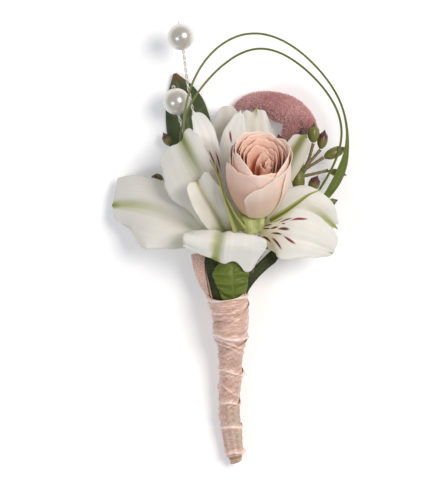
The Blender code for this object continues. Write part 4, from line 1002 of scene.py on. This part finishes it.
def leaf_skin(name, blade_green, vein_green, tip=None, gloss=0.42, pairs=9.0):
    """Leaf: a waxed green skin that is paler over its midrib and side veins, and may have a coloured tip."""
    made, tree, shader = new_finish(name, {
        "Roughness": gloss, "Specular IOR Level": 0.36, "Subsurface Weight": 0.1,
        "Subsurface Radius": (0.4, 0.9, 0.2), "Subsurface Scale": 0.0006})
    cross, along = growth_shares(tree)
    place = add_node(tree, "ShaderNodeTexCoord").outputs["Object"]
    # Cells between the finest veins, about 0.5 mm across.
    cells = add_node(tree, "ShaderNodeTexVoronoi", {"Vector": place, "Scale": 1900.0}, feature="DISTANCE_TO_EDGE")
    clouds = mottled(tree, 260.0, detail=3.0)
    from_rib = off_rib(tree, cross)
    midrib = add_node(tree, "ShaderNodeMapRange", {0: from_rib, 1: 0.03, 2: 0.10, 3: 0.8, 4: 0.0})
    slope = add_node(tree, "ShaderNodeMath", {0: from_rib, 1: -VEIN_SLANT}, operation="MULTIPLY")
    run = add_node(tree, "ShaderNodeMath", {0: along, 1: pairs * 2 * math.pi, 2: slope.outputs[0]},
                   operation="MULTIPLY_ADD")
    wave = add_node(tree, "ShaderNodeMath", {0: run.outputs[0]}, operation="SINE")
    side_veins = add_node(tree, "ShaderNodeMapRange", {0: wave.outputs[0], 1: 0.9, 2: 1.0, 4: 0.5})
    veins = most_of(tree, [midrib.outputs[0], side_veins.outputs[0]])
    coats = [(vein_green, clouds, 0.35, 0.75, 0.0, 0.6), (vein_green, veins)]
    if tip:
        colour, start = tip
        blush = add_node(tree, "ShaderNodeMath", {0: clouds, 1: 0.06, 2: along}, operation="MULTIPLY_ADD")
        coats.append((colour, blush.outputs[0], start, start + 0.05, 0.0, 1.0, "SMOOTHSTEP"))
    rough = add_node(tree, "ShaderNodeMath", {0: cells.outputs["Distance"], 1: 0.4, 2: veins},
                     operation="MULTIPLY_ADD")
    coloured(tree, shader, blade_green, coats, relief=(rough.outputs[0], 0.35, 0.0001))
    return made


def strip(points, start_width, end_width):
    """Stations for a narrow piece whose half width runs evenly between those two, both sides alike."""
    widths = np.linspace(start_width, end_width, len(points))
    return [(*point, width, width) for point, width in zip(points, widths)]


def quilting(depth, pairs):
    """The low swell of a leaf between its side veins."""
    return lambda u, v: depth * np.sin(2 * np.pi * pairs * v - VEIN_SLANT * np.abs(u)) * np.abs(u) * (1 - u**4)


DARK_LEAF = leaf_skin("dark_leaf_red_tip", "#3e4a2b", "#56623d", tip=("#7d4a38", 0.98), gloss=0.52)
BRIGHT_LEAF = leaf_skin("bright_collar_leaf", "#59681d", "#6c7a2d", gloss=0.45, pairs=5.0)
SIDE_LEAF = leaf_skin("dark_collar_leaf", "#252c0a", "#3d4517", gloss=0.65, pairs=6.0)

leaf_stem = [(*point, 0.7, 0.7) for point in bundled("leaf", 0.10, [])[::4]]
red_tipped = leaf_stem + [
    (-2.0, -6.0, 6.0, 0.8, 0.8), (-3.0, 3.0, 4.8, 1.2, 1.2), (-6.3, 11.8, 3.0, 3.0, 3.0),
    (-9.6, 21.9, 1.4, 5.4, 5.4), (-11.8, 31.0, 0.6, 6.8, 6.8), (-13.4, 40.1, 0.5, 6.4, 6.4),
    (-15.0, 46.2, 0.8, 4.4, 4.4), (-16.9, 51.8, 1.8, 0.5, 0.5)]
LEAVES = {
    "red_tipped_leaf": (DARK_LEAF, "dark_leaf", blade(
        red_tipped, TOWARDS_VIEWER, 0.32, cup=0.05, round_end=0.0, columns=31, rows=150,
        relief=all_of(crease(0.25, 0.10), quilting(0.10, 9.0)))),
    "collar_leaf_front": (BRIGHT_LEAF, "collar_leaf", blade(
        [(1.2, -18.6, 14.6, 2.6, 2.6), (0.9, -14.6, 16.3, 4.2, 3.8), (0.6, -10.2, 17.5, 5.6, 4.9),
         (0.5, -6.6, 17.7, 5.6, 5.0), (0.4, -4.0, 17.6, 4.4, 4.0)], TOWARDS_VIEWER, 0.36, cup=-0.27, wave=0.3,
        columns=41, rows=70, flare=narrowed(2.0, 0.03),
        relief=all_of(quilting(0.65, 5.0), ruffle(1.5, 0.5), crease(0.3, 0.10)))),
    "collar_leaf_left": (SIDE_LEAF, "collar_leaf", blade(
        strip([(-4.2, -18.0, 13.4), (-5.1, -12.0, 13.2), (-6.6, -3.2, 12.8)], 1.35, 1.8),
        ((-0.8, 0.0, 0.6), (-0.4, 0.0, 1.0)), 0.3, columns=17, rows=50, relief=crease(0.2, 0.2))),
    "collar_leaf_right": (SIDE_LEAF, "collar_leaf", blade(
        strip([(3.2, -18.0, 13.8), (5.4, -12.6, 13.4), (8.8, -7.8, 11.8), (14.6, -2.2, 9.4)], 0.6, 1.8),
        ((0.8, 0.0, 0.6), (0.3, 0.0, 1.0)), 0.3, columns=17, rows=60, relief=crease(0.2, 0.2))),
}
for name, (skin, slot, part) in LEAVES.items():
    show(name, new_mesh(name, skin, part))


# ------------------------------------------------------------ seeded eucalyptus
# Two sprigs: a woody, reddish twig with side twigs, each ending in a closed bud. A bud is a
# green cup with four faint ribs, and a pointed burgundy cap that sits on the cup's rim.

BUDS = {
    "right_1": (0.97, (24.9, 30.2, 12.0), (25.1, 36.4, 12.6), 1.75, "green"),
    "right_2": (0.90, (21.9, 29.4, 11.6), (21.2, 34.8, 12.2), 1.4, "dark"),
    "right_3": (0.95, (27.1, 28.4, 10.6), (28.4, 34.4, 11.0), 1.5, "red"),
    "right_4": (0.93, (28.0, 26.0, 9.6), (35.0, 29.2, 8.4), 1.6, "olive"),
    "right_5": (0.89, (29.4, 22.2, 7.2), (35.2, 20.8, 6.4), 1.1, "olive"),
    "right_6": (0.82, (24.2, 15.8, 11.4), (26.2, 20.6, 12.4), 1.65, "red"),
    "right_7": (0.77, (20.6, 15.4, 11.2), (20.2, 23.4, 12.6), 1.9, "green"),
    "right_8": (0.74, (28.2, 11.8, 3.6), (32.6, 13.4, 3.6), 1.1, "green"),
    "right_9": (0.86, (15.6, 27.6, 9.0), (14.4, 33.2, 9.6), 1.35, "olive"),
    "left_1": (0.93, (-18.0, 29.6, 4.6), (-20.4, 33.8, 4.2), 1.3, "red"),
    "left_2": (0.84, (-20.2, 19.6, 3.6), (-24.0, 20.6, 3.2), 1.2, "red"),
}
BUD_GAP = 0.3
BUD_SIDES = 28


def bud_skin(name, cup_green, cap_red, cap_start):
    """Eucalyptus bud: a waxy cup, with a darker cap from its rim to its point, freckled where the wax has worn."""
    made, tree, shader = new_finish(name, {
        "Roughness": 0.36, "Specular IOR Level": 0.5, "Coat Weight": 0.15, "Coat Roughness": 0.3})
    _, along = growth_shares(tree)
    freckles = mottled(tree, 1100.0, detail=3.0)
    height = add_node(tree, "ShaderNodeMath", {0: freckles, 1: 0.16, 2: along}, operation="MULTIPLY_ADD")
    coloured(tree, shader, cup_green, [
        ("#827d3e", freckles), (cap_red, height.outputs[0], cap_start, cap_start + 0.16, 0.0, 1.0, "SMOOTHSTEP")],
        relief=(freckles, 0.3, 0.0001))
    return made


BUD_SKINS = {
    "green": bud_skin("bud_green_cup", "#5a6222", "#5b2d2c", 0.78),
    "olive": bud_skin("bud_olive_cup", "#5b5a26", "#5c312c", 0.66),
    "red": bud_skin("bud_burgundy", "#5d5228", "#562d2e", 0.48),
    # The dark skin is a darker copy of the green one: painted shade for the bud that lies in shadow.
    "dark": bud_skin("bud_in_painted_shade", "#3d4426", "#3e2c28", 0.55),
}

# Twig bark: rough and dull, brown with paler scars across it and olive blotches.
bark, tree, shader = new_finish("eucalyptus_twig_bark", {"Roughness": 0.6, "Specular IOR Level": 0.35})
scars = drawn_out(tree, 6.0, 40.0, detail=4.0)
coloured(tree, shader, "#5d4a35", [("#9a8763", scars), ("#6b6a3c", mottled(tree, 350.0), 0.45, 0.7, 0.0, 0.7)],
         relief=(scars, 0.5, 0.00015))

MAIN_TWIGS = {
    "right": bundled("eucalyptus_right", 0.22, [(7.0, -6.0, 9.0), (13.0, 3.0, 7.6), (18.2, 13.0, 8.6),
                                                (21.0, 19.9, 9.6), (24.2, 26.0, 10.6)]),
    "left": bundled("eucalyptus_left", 0.18, [(-5.4, -5.0, 6.8), (-9.2, 8.0, 5.4), (-13.0, 19.0, 4.8),
                                              (-16.4, 27.2, 4.8)]),
}
for side, points in MAIN_TWIGS.items():
    line = smooth_line(points)
    share = np.linspace(0, 1, len(line))
    # A twig thickens at each fork, and its bark is faintly knobbed.
    forks = [fork for label, (fork, *_) in BUDS.items() if label.startswith(side)]
    knots = sum(0.22 * np.exp(-(((share - fork) / 0.008) ** 2)) for fork in forks)
    thickness = 0.85 * (1.1 - 0.35 * share) * (1 + 0.6 * knots + 0.04 * np.sin(90 * share))
    parts = [tube_part(line, thickness[:, None], 16)]
    for label, (fork, seat, *_) in BUDS.items():
        if label.startswith(side):
            start, seat = at_share(line, fork), np.array(seat)
            bend = (start + seat) / 2 + 0.06 * np.linalg.norm(start - seat) * np.array(TOWARDS_VIEWER)
            path = smooth_line([start, bend, seat], 40)
            along = np.linspace(0, 1, 40)
            thickness = 0.46 * (1 + 0.5 * np.exp(-along / 0.1) + 0.35 * np.exp((along - 1) / 0.06)
                                + 0.06 * np.sin(31 * along))
            parts.append(tube_part(path, thickness[:, None], 12))
    name = f"eucalyptus_twig_{side}"
    show(name, new_mesh(name, bark, *parts))

BUD_OUTLINE = [(0.0, 0.22), (0.04, 0.42), (0.2, 0.84), (0.40, 1.0), (0.56, 0.97), (0.64, 0.90), (0.66, 0.93),
               (0.70, 0.88), (0.82, 0.52), (0.94, 0.17), (1.0, 0.06)]
for label, (_, seat, tip, radius, colour) in BUDS.items():
    seat, tip = np.array(seat), np.array(tip)
    axis = unit(tip - seat)
    profile = smooth_outline(BUD_OUTLINE, 44)
    line = seat + BUD_GAP * axis + profile[:, :1] * (np.linalg.norm(tip - seat) - BUD_GAP) * axis
    ribs = 1 + 0.04 * np.cos(4 * full_turn(BUD_SIDES))[None, :]
    name = f"eucalyptus_bud_{label}"
    bud = tube_part(line, radius * profile[:, 1:2] * ribs, BUD_SIDES)
    show(name, new_mesh(name, BUD_SKINS[colour], bud))


# ------------------------------------------------------------------ bear grass
# Two long blades loop over from the right and tuck in behind the left floret. A blade is a
# flat, tough strip with fine ribs, widest where it leaves the bunch.

# Bear grass: a tough green skin with a satin shine, paler and greyer towards its thin end.
grass_skin, tree, shader = new_finish("bear_grass_skin", {
    "Roughness": 0.42, "Specular IOR Level": 0.5, "Subsurface Weight": 0.1,
    "Subsurface Radius": (0.4, 0.8, 0.2), "Subsurface Scale": 0.0005})
_, along = growth_shares(tree)
# Six ribs across a blade, and slow changes of green along it.
lines = drawn_out(tree, 6.0, 3.0)
coloured(tree, shader, "#4b5b17", [
    ("#748233", lines, 0.35, 0.65, 0.0, 1.0), ("#6c7836", mottled(tree, 60.0), 0.4, 0.7, 0.0, 0.6),
    ("#84855d", along, 0.55, 0.9, 0.0, 0.7)], relief=(lines, 0.5, 0.0001))


def relaxed(points):
    """The same points, each moved halfway to the middle of its neighbours, twice over, which takes kinks out."""
    line = np.array(points)
    for _ in range(2):
        line[1:-1] = line[1:-1] / 2 + (line[:-2] + line[2:]) / 4
    return line


outer = bundled("grass", 0.14, [
    (5.4, -8.0, 6.2), (14.0, 0.0, 4.6), (23.0, 6.6, 4.8), (29.2, 13.9, 6.6), (32.0, 18.1, 8.2), (34.2, 22.9, 10.0),
    (35.3, 27.7, 11.6), (35.7, 33.0, 12.8), (34.7, 39.0, 13.8), (33.0, 43.8, 14.4), (30.4, 47.9, 15.0),
    (26.2, 53.3, 15.8), (20.6, 58.8, 16.4), (14.6, 62.4, 16.8), (8.6, 64.0, 16.8), (2.6, 63.8, 16.6),
    (-3.4, 60.6, 16.4), (-8.4, 55.2, 16.0), (-11.4, 50.0, 15.6), (-13.4, 43.4, 15.2), (-15.0, 36.0, 14.0),
    (-14.6, 29.0, 12.0), (-11.0, 21.0, 10.8)])
widths = [0.29 + 1.12 * math.exp(-(((i - 17.4) / 1.75) ** 2)) for i in range(len(outer))]
inner = [
    (20.6, 6.4, 6.2), (24.6, 12.8, 7.4), (27.4, 17.5, 8.6), (30.8, 22.2, 9.8), (33.2, 27.6, 10.8),
    (34.2, 33.1, 11.4), (33.6, 37.9, 11.8), (31.4, 42.6, 12.2), (28.2, 47.8, 12.6), (21.6, 54.2, 13.0),
    (14.8, 58.8, 13.4), (9.0, 60.2, 13.6), (3.0, 58.6, 13.6), (-3.0, 54.0, 13.6), (-8.6, 48.0, 13.4),
    (-12.4, 42.6, 13.0), (-15.2, 36.2, 12.2), (-16.4, 30.0, 11.0), (-14.6, 24.0, 9.6)]
GRASS_THICK = 0.26
GRASS = {
    "bear_grass_outer": [(*point, width, width) for point, width in zip(relaxed(outer), widths)],
    "bear_grass_inner": strip(relaxed(inner), 0.32, 0.27),
}
for name, stations in GRASS.items():
    strip_part = blade(stations, TOWARDS_VIEWER, GRASS_THICK, cup=0.3, round_end=0.0, columns=9, rows=320, margin=0.5,
                       relief=lambda u, v: 0.05 * np.cos(3 * np.pi * u))
    show(name, new_mesh(name, grass_skin, strip_part))


# ---------------------------------------------------------------------- pearls
# Two glass pearls, drilled through. A fine silver wire runs up through each, loops over at
# its top and comes back down, and the two strands are twisted together below it.

PEARL_RADIUS = 4.05
BORE_RADIUS = 0.7
STRAND_RADIUS = 0.19
TWIST_RADIUS = 0.27
TWIST_PITCH = 3.8

# Pearl essence over glass: a clear glossy coat over a body whose colour is a painted reflection: grey where it faces
# the eye and pale cream towards its edge.
pearl_coat, tree, shader = new_finish("pearl_essence_on_glass", {
    "Roughness": 0.30, "Specular IOR Level": 0.9, "Coat Weight": 1.0, "Coat Roughness": 0.27, "Coat IOR": 2.6,
    "Subsurface Weight": 0.25, "Subsurface Radius": (1.0, 0.95, 0.9), "Subsurface Scale": 0.001,
    "Sheen Weight": 0.2, "Sheen Roughness": 0.4})
painted_reflection_facing = add_node(tree, "ShaderNodeLayerWeight", {"Blend": 0.35})
bands = add_node(tree, "ShaderNodeValToRGB", {0: painted_reflection_facing.outputs["Facing"]})
bands.color_ramp.elements[0].color = linear("#a69f94")
bands.color_ramp.elements[1].color = linear("#f0ece2")
for at, tone in ((0.12, "#b4ada2"), (0.40, "#d9d4ca")):
    bands.color_ramp.elements.new(at).color = linear(tone)
coloured(tree, shader, bands.outputs[0], relief=(mottled(tree, 700.0), 0.04, 0.0001))

# Silver plated copper wire, drawn smooth and a little tarnished between the strands.
wire_skin, tree, shader = new_finish("silver_plated_wire", {"Metallic": 0.55, "Roughness": 0.30})
coloured(tree, shader, "#f2efe8", [("#cfc9bb", mottled(tree, 900.0, detail=3.0))])


def run_of(line):
    """The length of a line of points."""
    return np.linalg.norm(np.diff(line, axis=0), axis=1).sum()


def ring_part(grid):
    """A closed skin over a grid of places that joins up both ways: round by its rows, and across by its columns."""
    sides, count = grid.shape[:2]
    i, j = grid_cells(sides, count)
    i2, j2 = (i + 1) % sides, (j + 1) % count
    faces = np.stack([i * count + j, i * count + j2, i2 * count + j2, i2 * count + j], axis=1)
    corners = np.stack([np.stack([(i + over) / sides, (j + up) / count], axis=1)
                        for over, up in ((0, 0), (0, 1), (1, 1), (1, 0))], axis=1)
    return grid.reshape(-1, 3), faces.tolist(), corners.reshape(-1, 2)


def turned_grid(outline, place, axis, sides):
    """A closed outline of radius and height pairs, turned about an axis."""
    axis = unit(axis)
    aside = unit(np.cross(axis, TOWARDS_VIEWER))
    turn = full_turn(sides)
    around = np.cos(turn)[:, None] * aside + np.sin(turn)[:, None] * np.cross(axis, aside)
    outline = np.asarray(outline)
    return place + outline[None, :, :1] * around[:, None] + outline[None, :, 1:2] * axis


dip = math.asin(BORE_RADIUS / PEARL_RADIUS)
ball = [(PEARL_RADIUS * math.cos(a), PEARL_RADIUS * math.sin(a))
        for a in np.linspace(math.pi / 2 - dip - 0.04, -math.pi / 2 + dip + 0.04, 60)]
bore_top = PEARL_RADIUS * math.cos(dip)
bore = [(BORE_RADIUS, -bore_top + 0.12), (BORE_RADIUS, 0.0), (BORE_RADIUS, bore_top - 0.12)]
PEARLS = {
    "upper": (np.array(UPPER_PEARL), unit((-0.16, 1.0, 0.08)),
              [(-3.4, 12.0, 8.2), (-8.4, 28.0, 9.0), (-12.4, 45.4, 10.8)]),
    "lower": (np.array((-16.3, 43.0, 9.0)), unit((-0.2, 1.0, 0.14)), [(-7.2, 14.0, 7.0), (-11.6, 27.0, 7.4)]),
}
for label, (centre, axis, below) in PEARLS.items():
    name = f"pearl_{label}"
    show(name, new_mesh(name, pearl_coat, ring_part(turned_grid(ball + bore, centre, axis, 96))))
    neck = centre - axis * (PEARL_RADIUS + 2.0)
    top = centre + axis * (PEARL_RADIUS + 0.1)
    inside = [tuple(centre - 1.5 * axis), tuple(centre + 1.5 * axis)]
    line = smooth_line(below + [tuple(neck), *inside, tuple(top)], 420)
    length = run_of(line)
    side, up = across(line, np.linspace(0, 1, len(line)), TOWARDS_VIEWER)
    turn = 2 * np.pi * length / TWIST_PITCH * np.linspace(0, 1, len(line))
    strands = [line + TWIST_RADIUS * (np.cos(turn + phase)[:, None] * side + np.sin(turn + phase)[:, None] * up)
               for phase in (0.0, np.pi)]
    # The eye over the pearl: a low loop from one strand to the other.
    ways = [unit(strand[-1] - line[-1]) for strand in strands]
    arc = np.linspace(0, np.pi, 24)[:, None]
    eye = line[-1] + 0.55 * np.cos(arc) * ways[0] + (0.15 + 0.5 * np.sin(arc)) * axis
    parts = [tube_part(strand, STRAND_RADIUS, 8) for strand in strands] + [tube_part(eye, STRAND_RADIUS, 8)]
    name = f"pearl_wire_{label}"
    show(name, new_mesh(name, wire_skin, *parts))


# ----------------------------------------------------------------- floral tape
# Stretchy crepe paper, waxed on both faces, is wound tight round the stems to hold them. The
# ribbon covers it, but for its edge at the cut end.

TAPE_THICK = 0.25
TAPE_DEPTH = 0.85
TAPE_LENGTH = 52.0
TAPE_STEP = 6.0
TAPE_ROWS = 180
TAPE_START, TAPE_END = 0.07, 0.968

# Waxed crepe: tan paper, rough to the eye, with a slight shine from its wax.
tape_skin, tree, shader = new_finish("waxed_crepe_floral_tape", {"Roughness": 0.62, "Specular IOR Level": 0.35})
# Crepe runs round the stems in creases some 0.4 mm apart.
crepe = drawn_out(tree, 4.0, 240.0, detail=3.0)
coloured(tree, shader, "#86754f", [("#a9946f", crepe)], relief=(crepe, 0.6, 0.0002))

share = np.concatenate([np.linspace(TAPE_START, TAPE_END, TAPE_ROWS), np.linspace(TAPE_END, TAPE_START, TAPE_ROWS)])
wall = np.concatenate([np.zeros(TAPE_ROWS), np.full(TAPE_ROWS, TAPE_THICK)])
turn = full_turn(64)[:, None]
centre, side, up = handle_frame(share)
# Each turn of the tape laps half over the turn before, which leaves a low step every 6 mm.
lap = 0.08 * ((share * TAPE_LENGTH / TAPE_STEP + turn / (2 * np.pi)) % 1.0) * (wall == 0)
reach = handle_radius(share) - TAPE_DEPTH - wall - lap
tube_grid = centre + reach[..., None] * (np.cos(turn)[..., None] * side + np.sin(turn)[..., None] * up)
show("floral_tape", new_mesh("floral_tape", tape_skin, ring_part(tube_grid[:, ::-1])))


# ---------------------------------------------------------------------- ribbon
# A peach satin ribbon, 11 mm wide, is wound six times down the handle, each turn over the
# edge of the turn before. It is pulled tight, so it creases and rolls at its edges, and where
# it is a single layer the stems show through. Its loose end is folded lengthwise behind.

RIBBON_WIDTH = 11.0
RIBBON_THICK = 0.12
RIBBON_TURNS = 6
RIBBON_STEP = 0.45
EASED = 1.25
ROWS_A_TURN = 110
RIBBON_COLUMNS = 45
TAIL_COLUMNS = 49


def satin(name, sheer):
    """Polyester satin: a warp of bright filament that shines across its length, over a matt weft."""
    made, tree, shader = new_finish(name, {
        "Roughness": 0.34, "Specular IOR Level": 0.95, "Anisotropic": 0.4, "Sheen Weight": 0.25,
        "Sheen Roughness": 0.3, "Sheen Tint": linear("#ffdccf"), "Subsurface Weight": 0.1,
        "Subsurface Radius": (1.0, 0.9, 0.8), "Subsurface Scale": 0.0005})
    # Satin threads are 0.1 mm apart, too fine to show, so they are drawn 0.4 mm apart.
    threads = drawn_out(tree, 28.0, 30.0, detail=3.0)
    slubs = mottled(tree, 260.0, detail=3.0)
    coats = [("#eecfbf", threads, 0.3, 0.7, 0.0, 1.0), ("#a67462", slubs, 0.48, 0.75, 0.0, 0.5)]
    if sheer:
        from_left, down = growth_shares(tree, "wrap")
        # Single layers lie between the laps, and show a greyer green at the right of the front.
        bands = []
        for start, end, strength in SHEER_BANDS:
            rise = add_node(tree, "ShaderNodeMapRange", {0: down, 1: start, 2: start + 0.02})
            fall = add_node(tree, "ShaderNodeMapRange", {0: down, 1: end - 0.02, 2: end, 3: strength, 4: 0.0})
            band = add_node(tree, "ShaderNodeMath", {0: rise.outputs[0], 1: fall.outputs[0]}, operation="MULTIPLY")
            bands.append(band.outputs[0])
        right = add_node(tree, "ShaderNodeMapRange", {0: from_left, 1: 0.35, 2: 0.66, 3: 0.25, 4: 1.0})
        single = add_node(tree, "ShaderNodeMath", {0: most_of(tree, bands), 1: right.outputs[0]},
                          operation="MULTIPLY")
        stems_below = laid_over(tree, "#a18d76", [("#d3c0b0", drawn_out(tree, 22.0, 3.0, layer="wrap"))])
        # A painted highlight lies on top of each fold, and painted shade in the hollow beside it.
        stands, _ = growth_shares(tree, "fold")
        coats += [(stems_below, single.outputs[0]), ("#f6e2d9", stands, 0.20, 0.50, 0.0, 0.85, "SMOOTHSTEP"),
                  ("#a98373", stands, -0.05, 0.07, 0.6, 0.0, "SMOOTHSTEP")]
    height = add_node(tree, "ShaderNodeMath", {0: slubs, 1: 0.8, 2: threads}, operation="MULTIPLY_ADD")
    coloured(tree, shader, "#c8937c", coats, relief=(height.outputs[0], 0.8, 0.0003))
    return made


# Where one layer shows the stems: the shares of the handle where it starts and ends, and how much.
SHEER_BANDS = [(0.65, 0.775, 0.80), (0.795, 0.92, 0.85), (0.33, 0.43, 0.25), (0.952, 0.978, 1.0)]

# Rolled edges and folds over the front: where each lies, how it slants, how high it stands and
# its half width.
FOLDS = [
    (0.008, 0.000, 0.50, 0.014), (0.045, 0.010, 0.26, 0.010), (0.085, -0.010, 0.30, 0.012),
    (0.135, 0.012, 0.25, 0.010), (0.185, -0.006, 0.22, 0.010), (0.240, 0.010, 0.60, 0.013),
    (0.275, 0.034, 0.44, 0.009), (0.305, 0.040, 0.38, 0.008), (0.450, 0.014, 0.50, 0.013),
    (0.480, 0.004, 0.20, 0.009), (0.560, 0.044, 0.38, 0.009), (0.637, 0.006, 0.55, 0.012),
    (0.781, 0.004, 0.58, 0.014), (0.935, 0.006, 0.50, 0.013)]
# Lumps where the ribbon bunches: the angle round the handle in degrees, the share of its length,
# the height and the half widths round and along.
LUMPS = [(185.0, 0.70, 1.0, 0.45, 0.030), (5.0, 0.46, 0.55, 0.40, 0.020), (0.0, 0.94, 0.6, 0.45, 0.016),
         (178.0, 0.06, 0.5, 0.5, 0.03), (190.0, 0.55, 0.5, 0.4, 0.02)]


def creases(share, angle):
    """How far the ribbon stands off the tape's round: rolled folds, lumps, and fine creases where it is pulled."""
    total = np.zeros_like(share)
    for at, slant, height, half in FOLDS:
        off = share - at - slant * np.cos(angle) - 0.004 * np.sin(3 * angle + 40 * at)
        hump = np.exp(-((off / np.where(off > 0, 0.45 * half, half)) ** 2))
        total += height * hump * (0.75 + 0.25 * np.sin(angle))
    for degrees, at, height, around, along in LUMPS:
        turn = (angle - math.radians(degrees) + np.pi) % (2 * np.pi) - np.pi
        total += height * np.exp(-((turn / around) ** 2) - ((share - at) / along) ** 2)
    pulled = np.abs(np.sin(95 * share + 1.2 * np.sin(2 * angle) + 0.8 * np.sin(5 * angle)))
    collar = 1 - ease((share - 0.22) / 0.06)
    total += (0.07 + 0.16 * collar) * (1 - pulled) ** 2
    crushed = 0.05 * np.sin(140 * share + 3 * np.sin(4 * angle)) * np.sin(11 * angle + 30 * share)
    stems = 0.06 * np.cos(9 * angle + 2 * np.sin(7 * share)) * ease((share - 0.62) / 0.05)
    # Past the last lip it is drawn in over the cut ends.
    return total + crushed + stems - 0.8 * ease((share - 0.948) / 0.014)


length = run_of(HANDLE)
# The winding starts and ends level, and gets its pitch over the first and last EASED turns.
pitch = (length - RIBBON_WIDTH) / (RIBBON_TURNS - 4 / 3 * EASED)
turn = np.linspace(0, RIBBON_TURNS, RIBBON_TURNS * ROWS_A_TURN)[:, None]
over = np.linspace(0, 1, RIBBON_COLUMNS)[None, :]
left_over = RIBBON_TURNS - turn
travel = turn - 2 / 3 * EASED
travel = np.where(turn < EASED, turn**3 / (3 * EASED**2), travel)
travel = np.where(left_over < EASED, RIBBON_TURNS - 4 / 3 * EASED - left_over**3 / (3 * EASED**2), travel)
angle = 2 * np.pi * turn - np.pi / 2 + 0 * over
share = (RIBBON_WIDTH * over + pitch * travel) / length
# The mouth's edge is pulled up at its sides and back, and dips in front.
share = share - 0.045 * (1 - np.clip(np.sin(angle), 0, 1)) * (1 - over) ** 2 * np.exp(-2.0 * travel)
centre, side, up = handle_frame(share)
showing = 1 - ease((over - 0.84) / 0.10) * (turn < RIBBON_TURNS - 1)
standing = creases(share, angle) * showing
reach = handle_radius(share) - RIBBON_STEP * over - 0.3 * np.maximum(0, 1 - turn) + standing
wound = centre + reach[..., None] * (np.cos(angle)[..., None] * side + np.sin(angle)[..., None] * up)
wound_mesh = new_mesh("ribbon_wrap", satin("peach_satin_ribbon", True), sheet_part(wound, RIBBON_THICK))
wrap = wound_mesh.uv_layers.new(name="wrap")
corner_places = np.empty(len(wound_mesh.loops), int)
wound_mesh.loops.foreach_get("vertex_index", corner_places)
front = np.stack([0.5 + 0.5 * np.cos(angle), share], axis=-1).reshape(-1, 2)
wrap.data.foreach_set("uv", np.vstack([front, front])[corner_places].astype(np.float32).ravel())
# The height of each fold, which the satin uses for its painted highlight and painted shade.
fold = wound_mesh.uv_layers.new(name="fold")
height = np.stack([standing, 0 * standing], axis=-1).reshape(-1, 2)
fold.data.foreach_set("uv", np.vstack([height, height])[corner_places].astype(np.float32).ravel())
ribbon = show("ribbon_wrap", wound_mesh)

# The loose end: the same ribbon, folded lengthwise in three.
FOLDED = [(-1.0, 0.0), (0.0, 0.03), (0.93, 0.06), (1.0, 0.18), (0.90, 0.30), (0.0, 0.32), (-0.90, 0.36),
          (-0.97, 0.48), (-0.86, 0.60), (0.0, 0.66), (0.84, 0.80)]
TAIL = strip([(-5.7, -16.6, 10.8), (-7.0, -13.0, 10.8), (-8.8, -8.4, 10.2), (-9.6, -2.9, 9.2)], 1.5, 2.3)
section = smooth_outline(FOLDED, TAIL_COLUMNS)
line = smooth_line(TAIL)
along = np.linspace(0, 1, 60)
facing = np.array((-1.0, 0.0, 0.3)) * (1 - along[:, None]) + np.array(TOWARDS_VIEWER) * along[:, None]
side, normal = across(line[:, :3], along, facing)
width = np.interp(along, np.linspace(0, 1, len(line)), line[:, 3])
folded = (at_share(line[:, :3], along)[:, None] + (width[:, None] * section[None, :, 0])[..., None] * side[:, None]
          + (section[None, :, 1] + 0.15 * np.sin(7 * along)[:, None])[..., None] * normal[:, None])
tail_mesh = new_mesh("ribbon_tail", satin("peach_satin_tail", False), sheet_part(folded, RIBBON_THICK))
tail = show("ribbon_tail", tail_mesh)
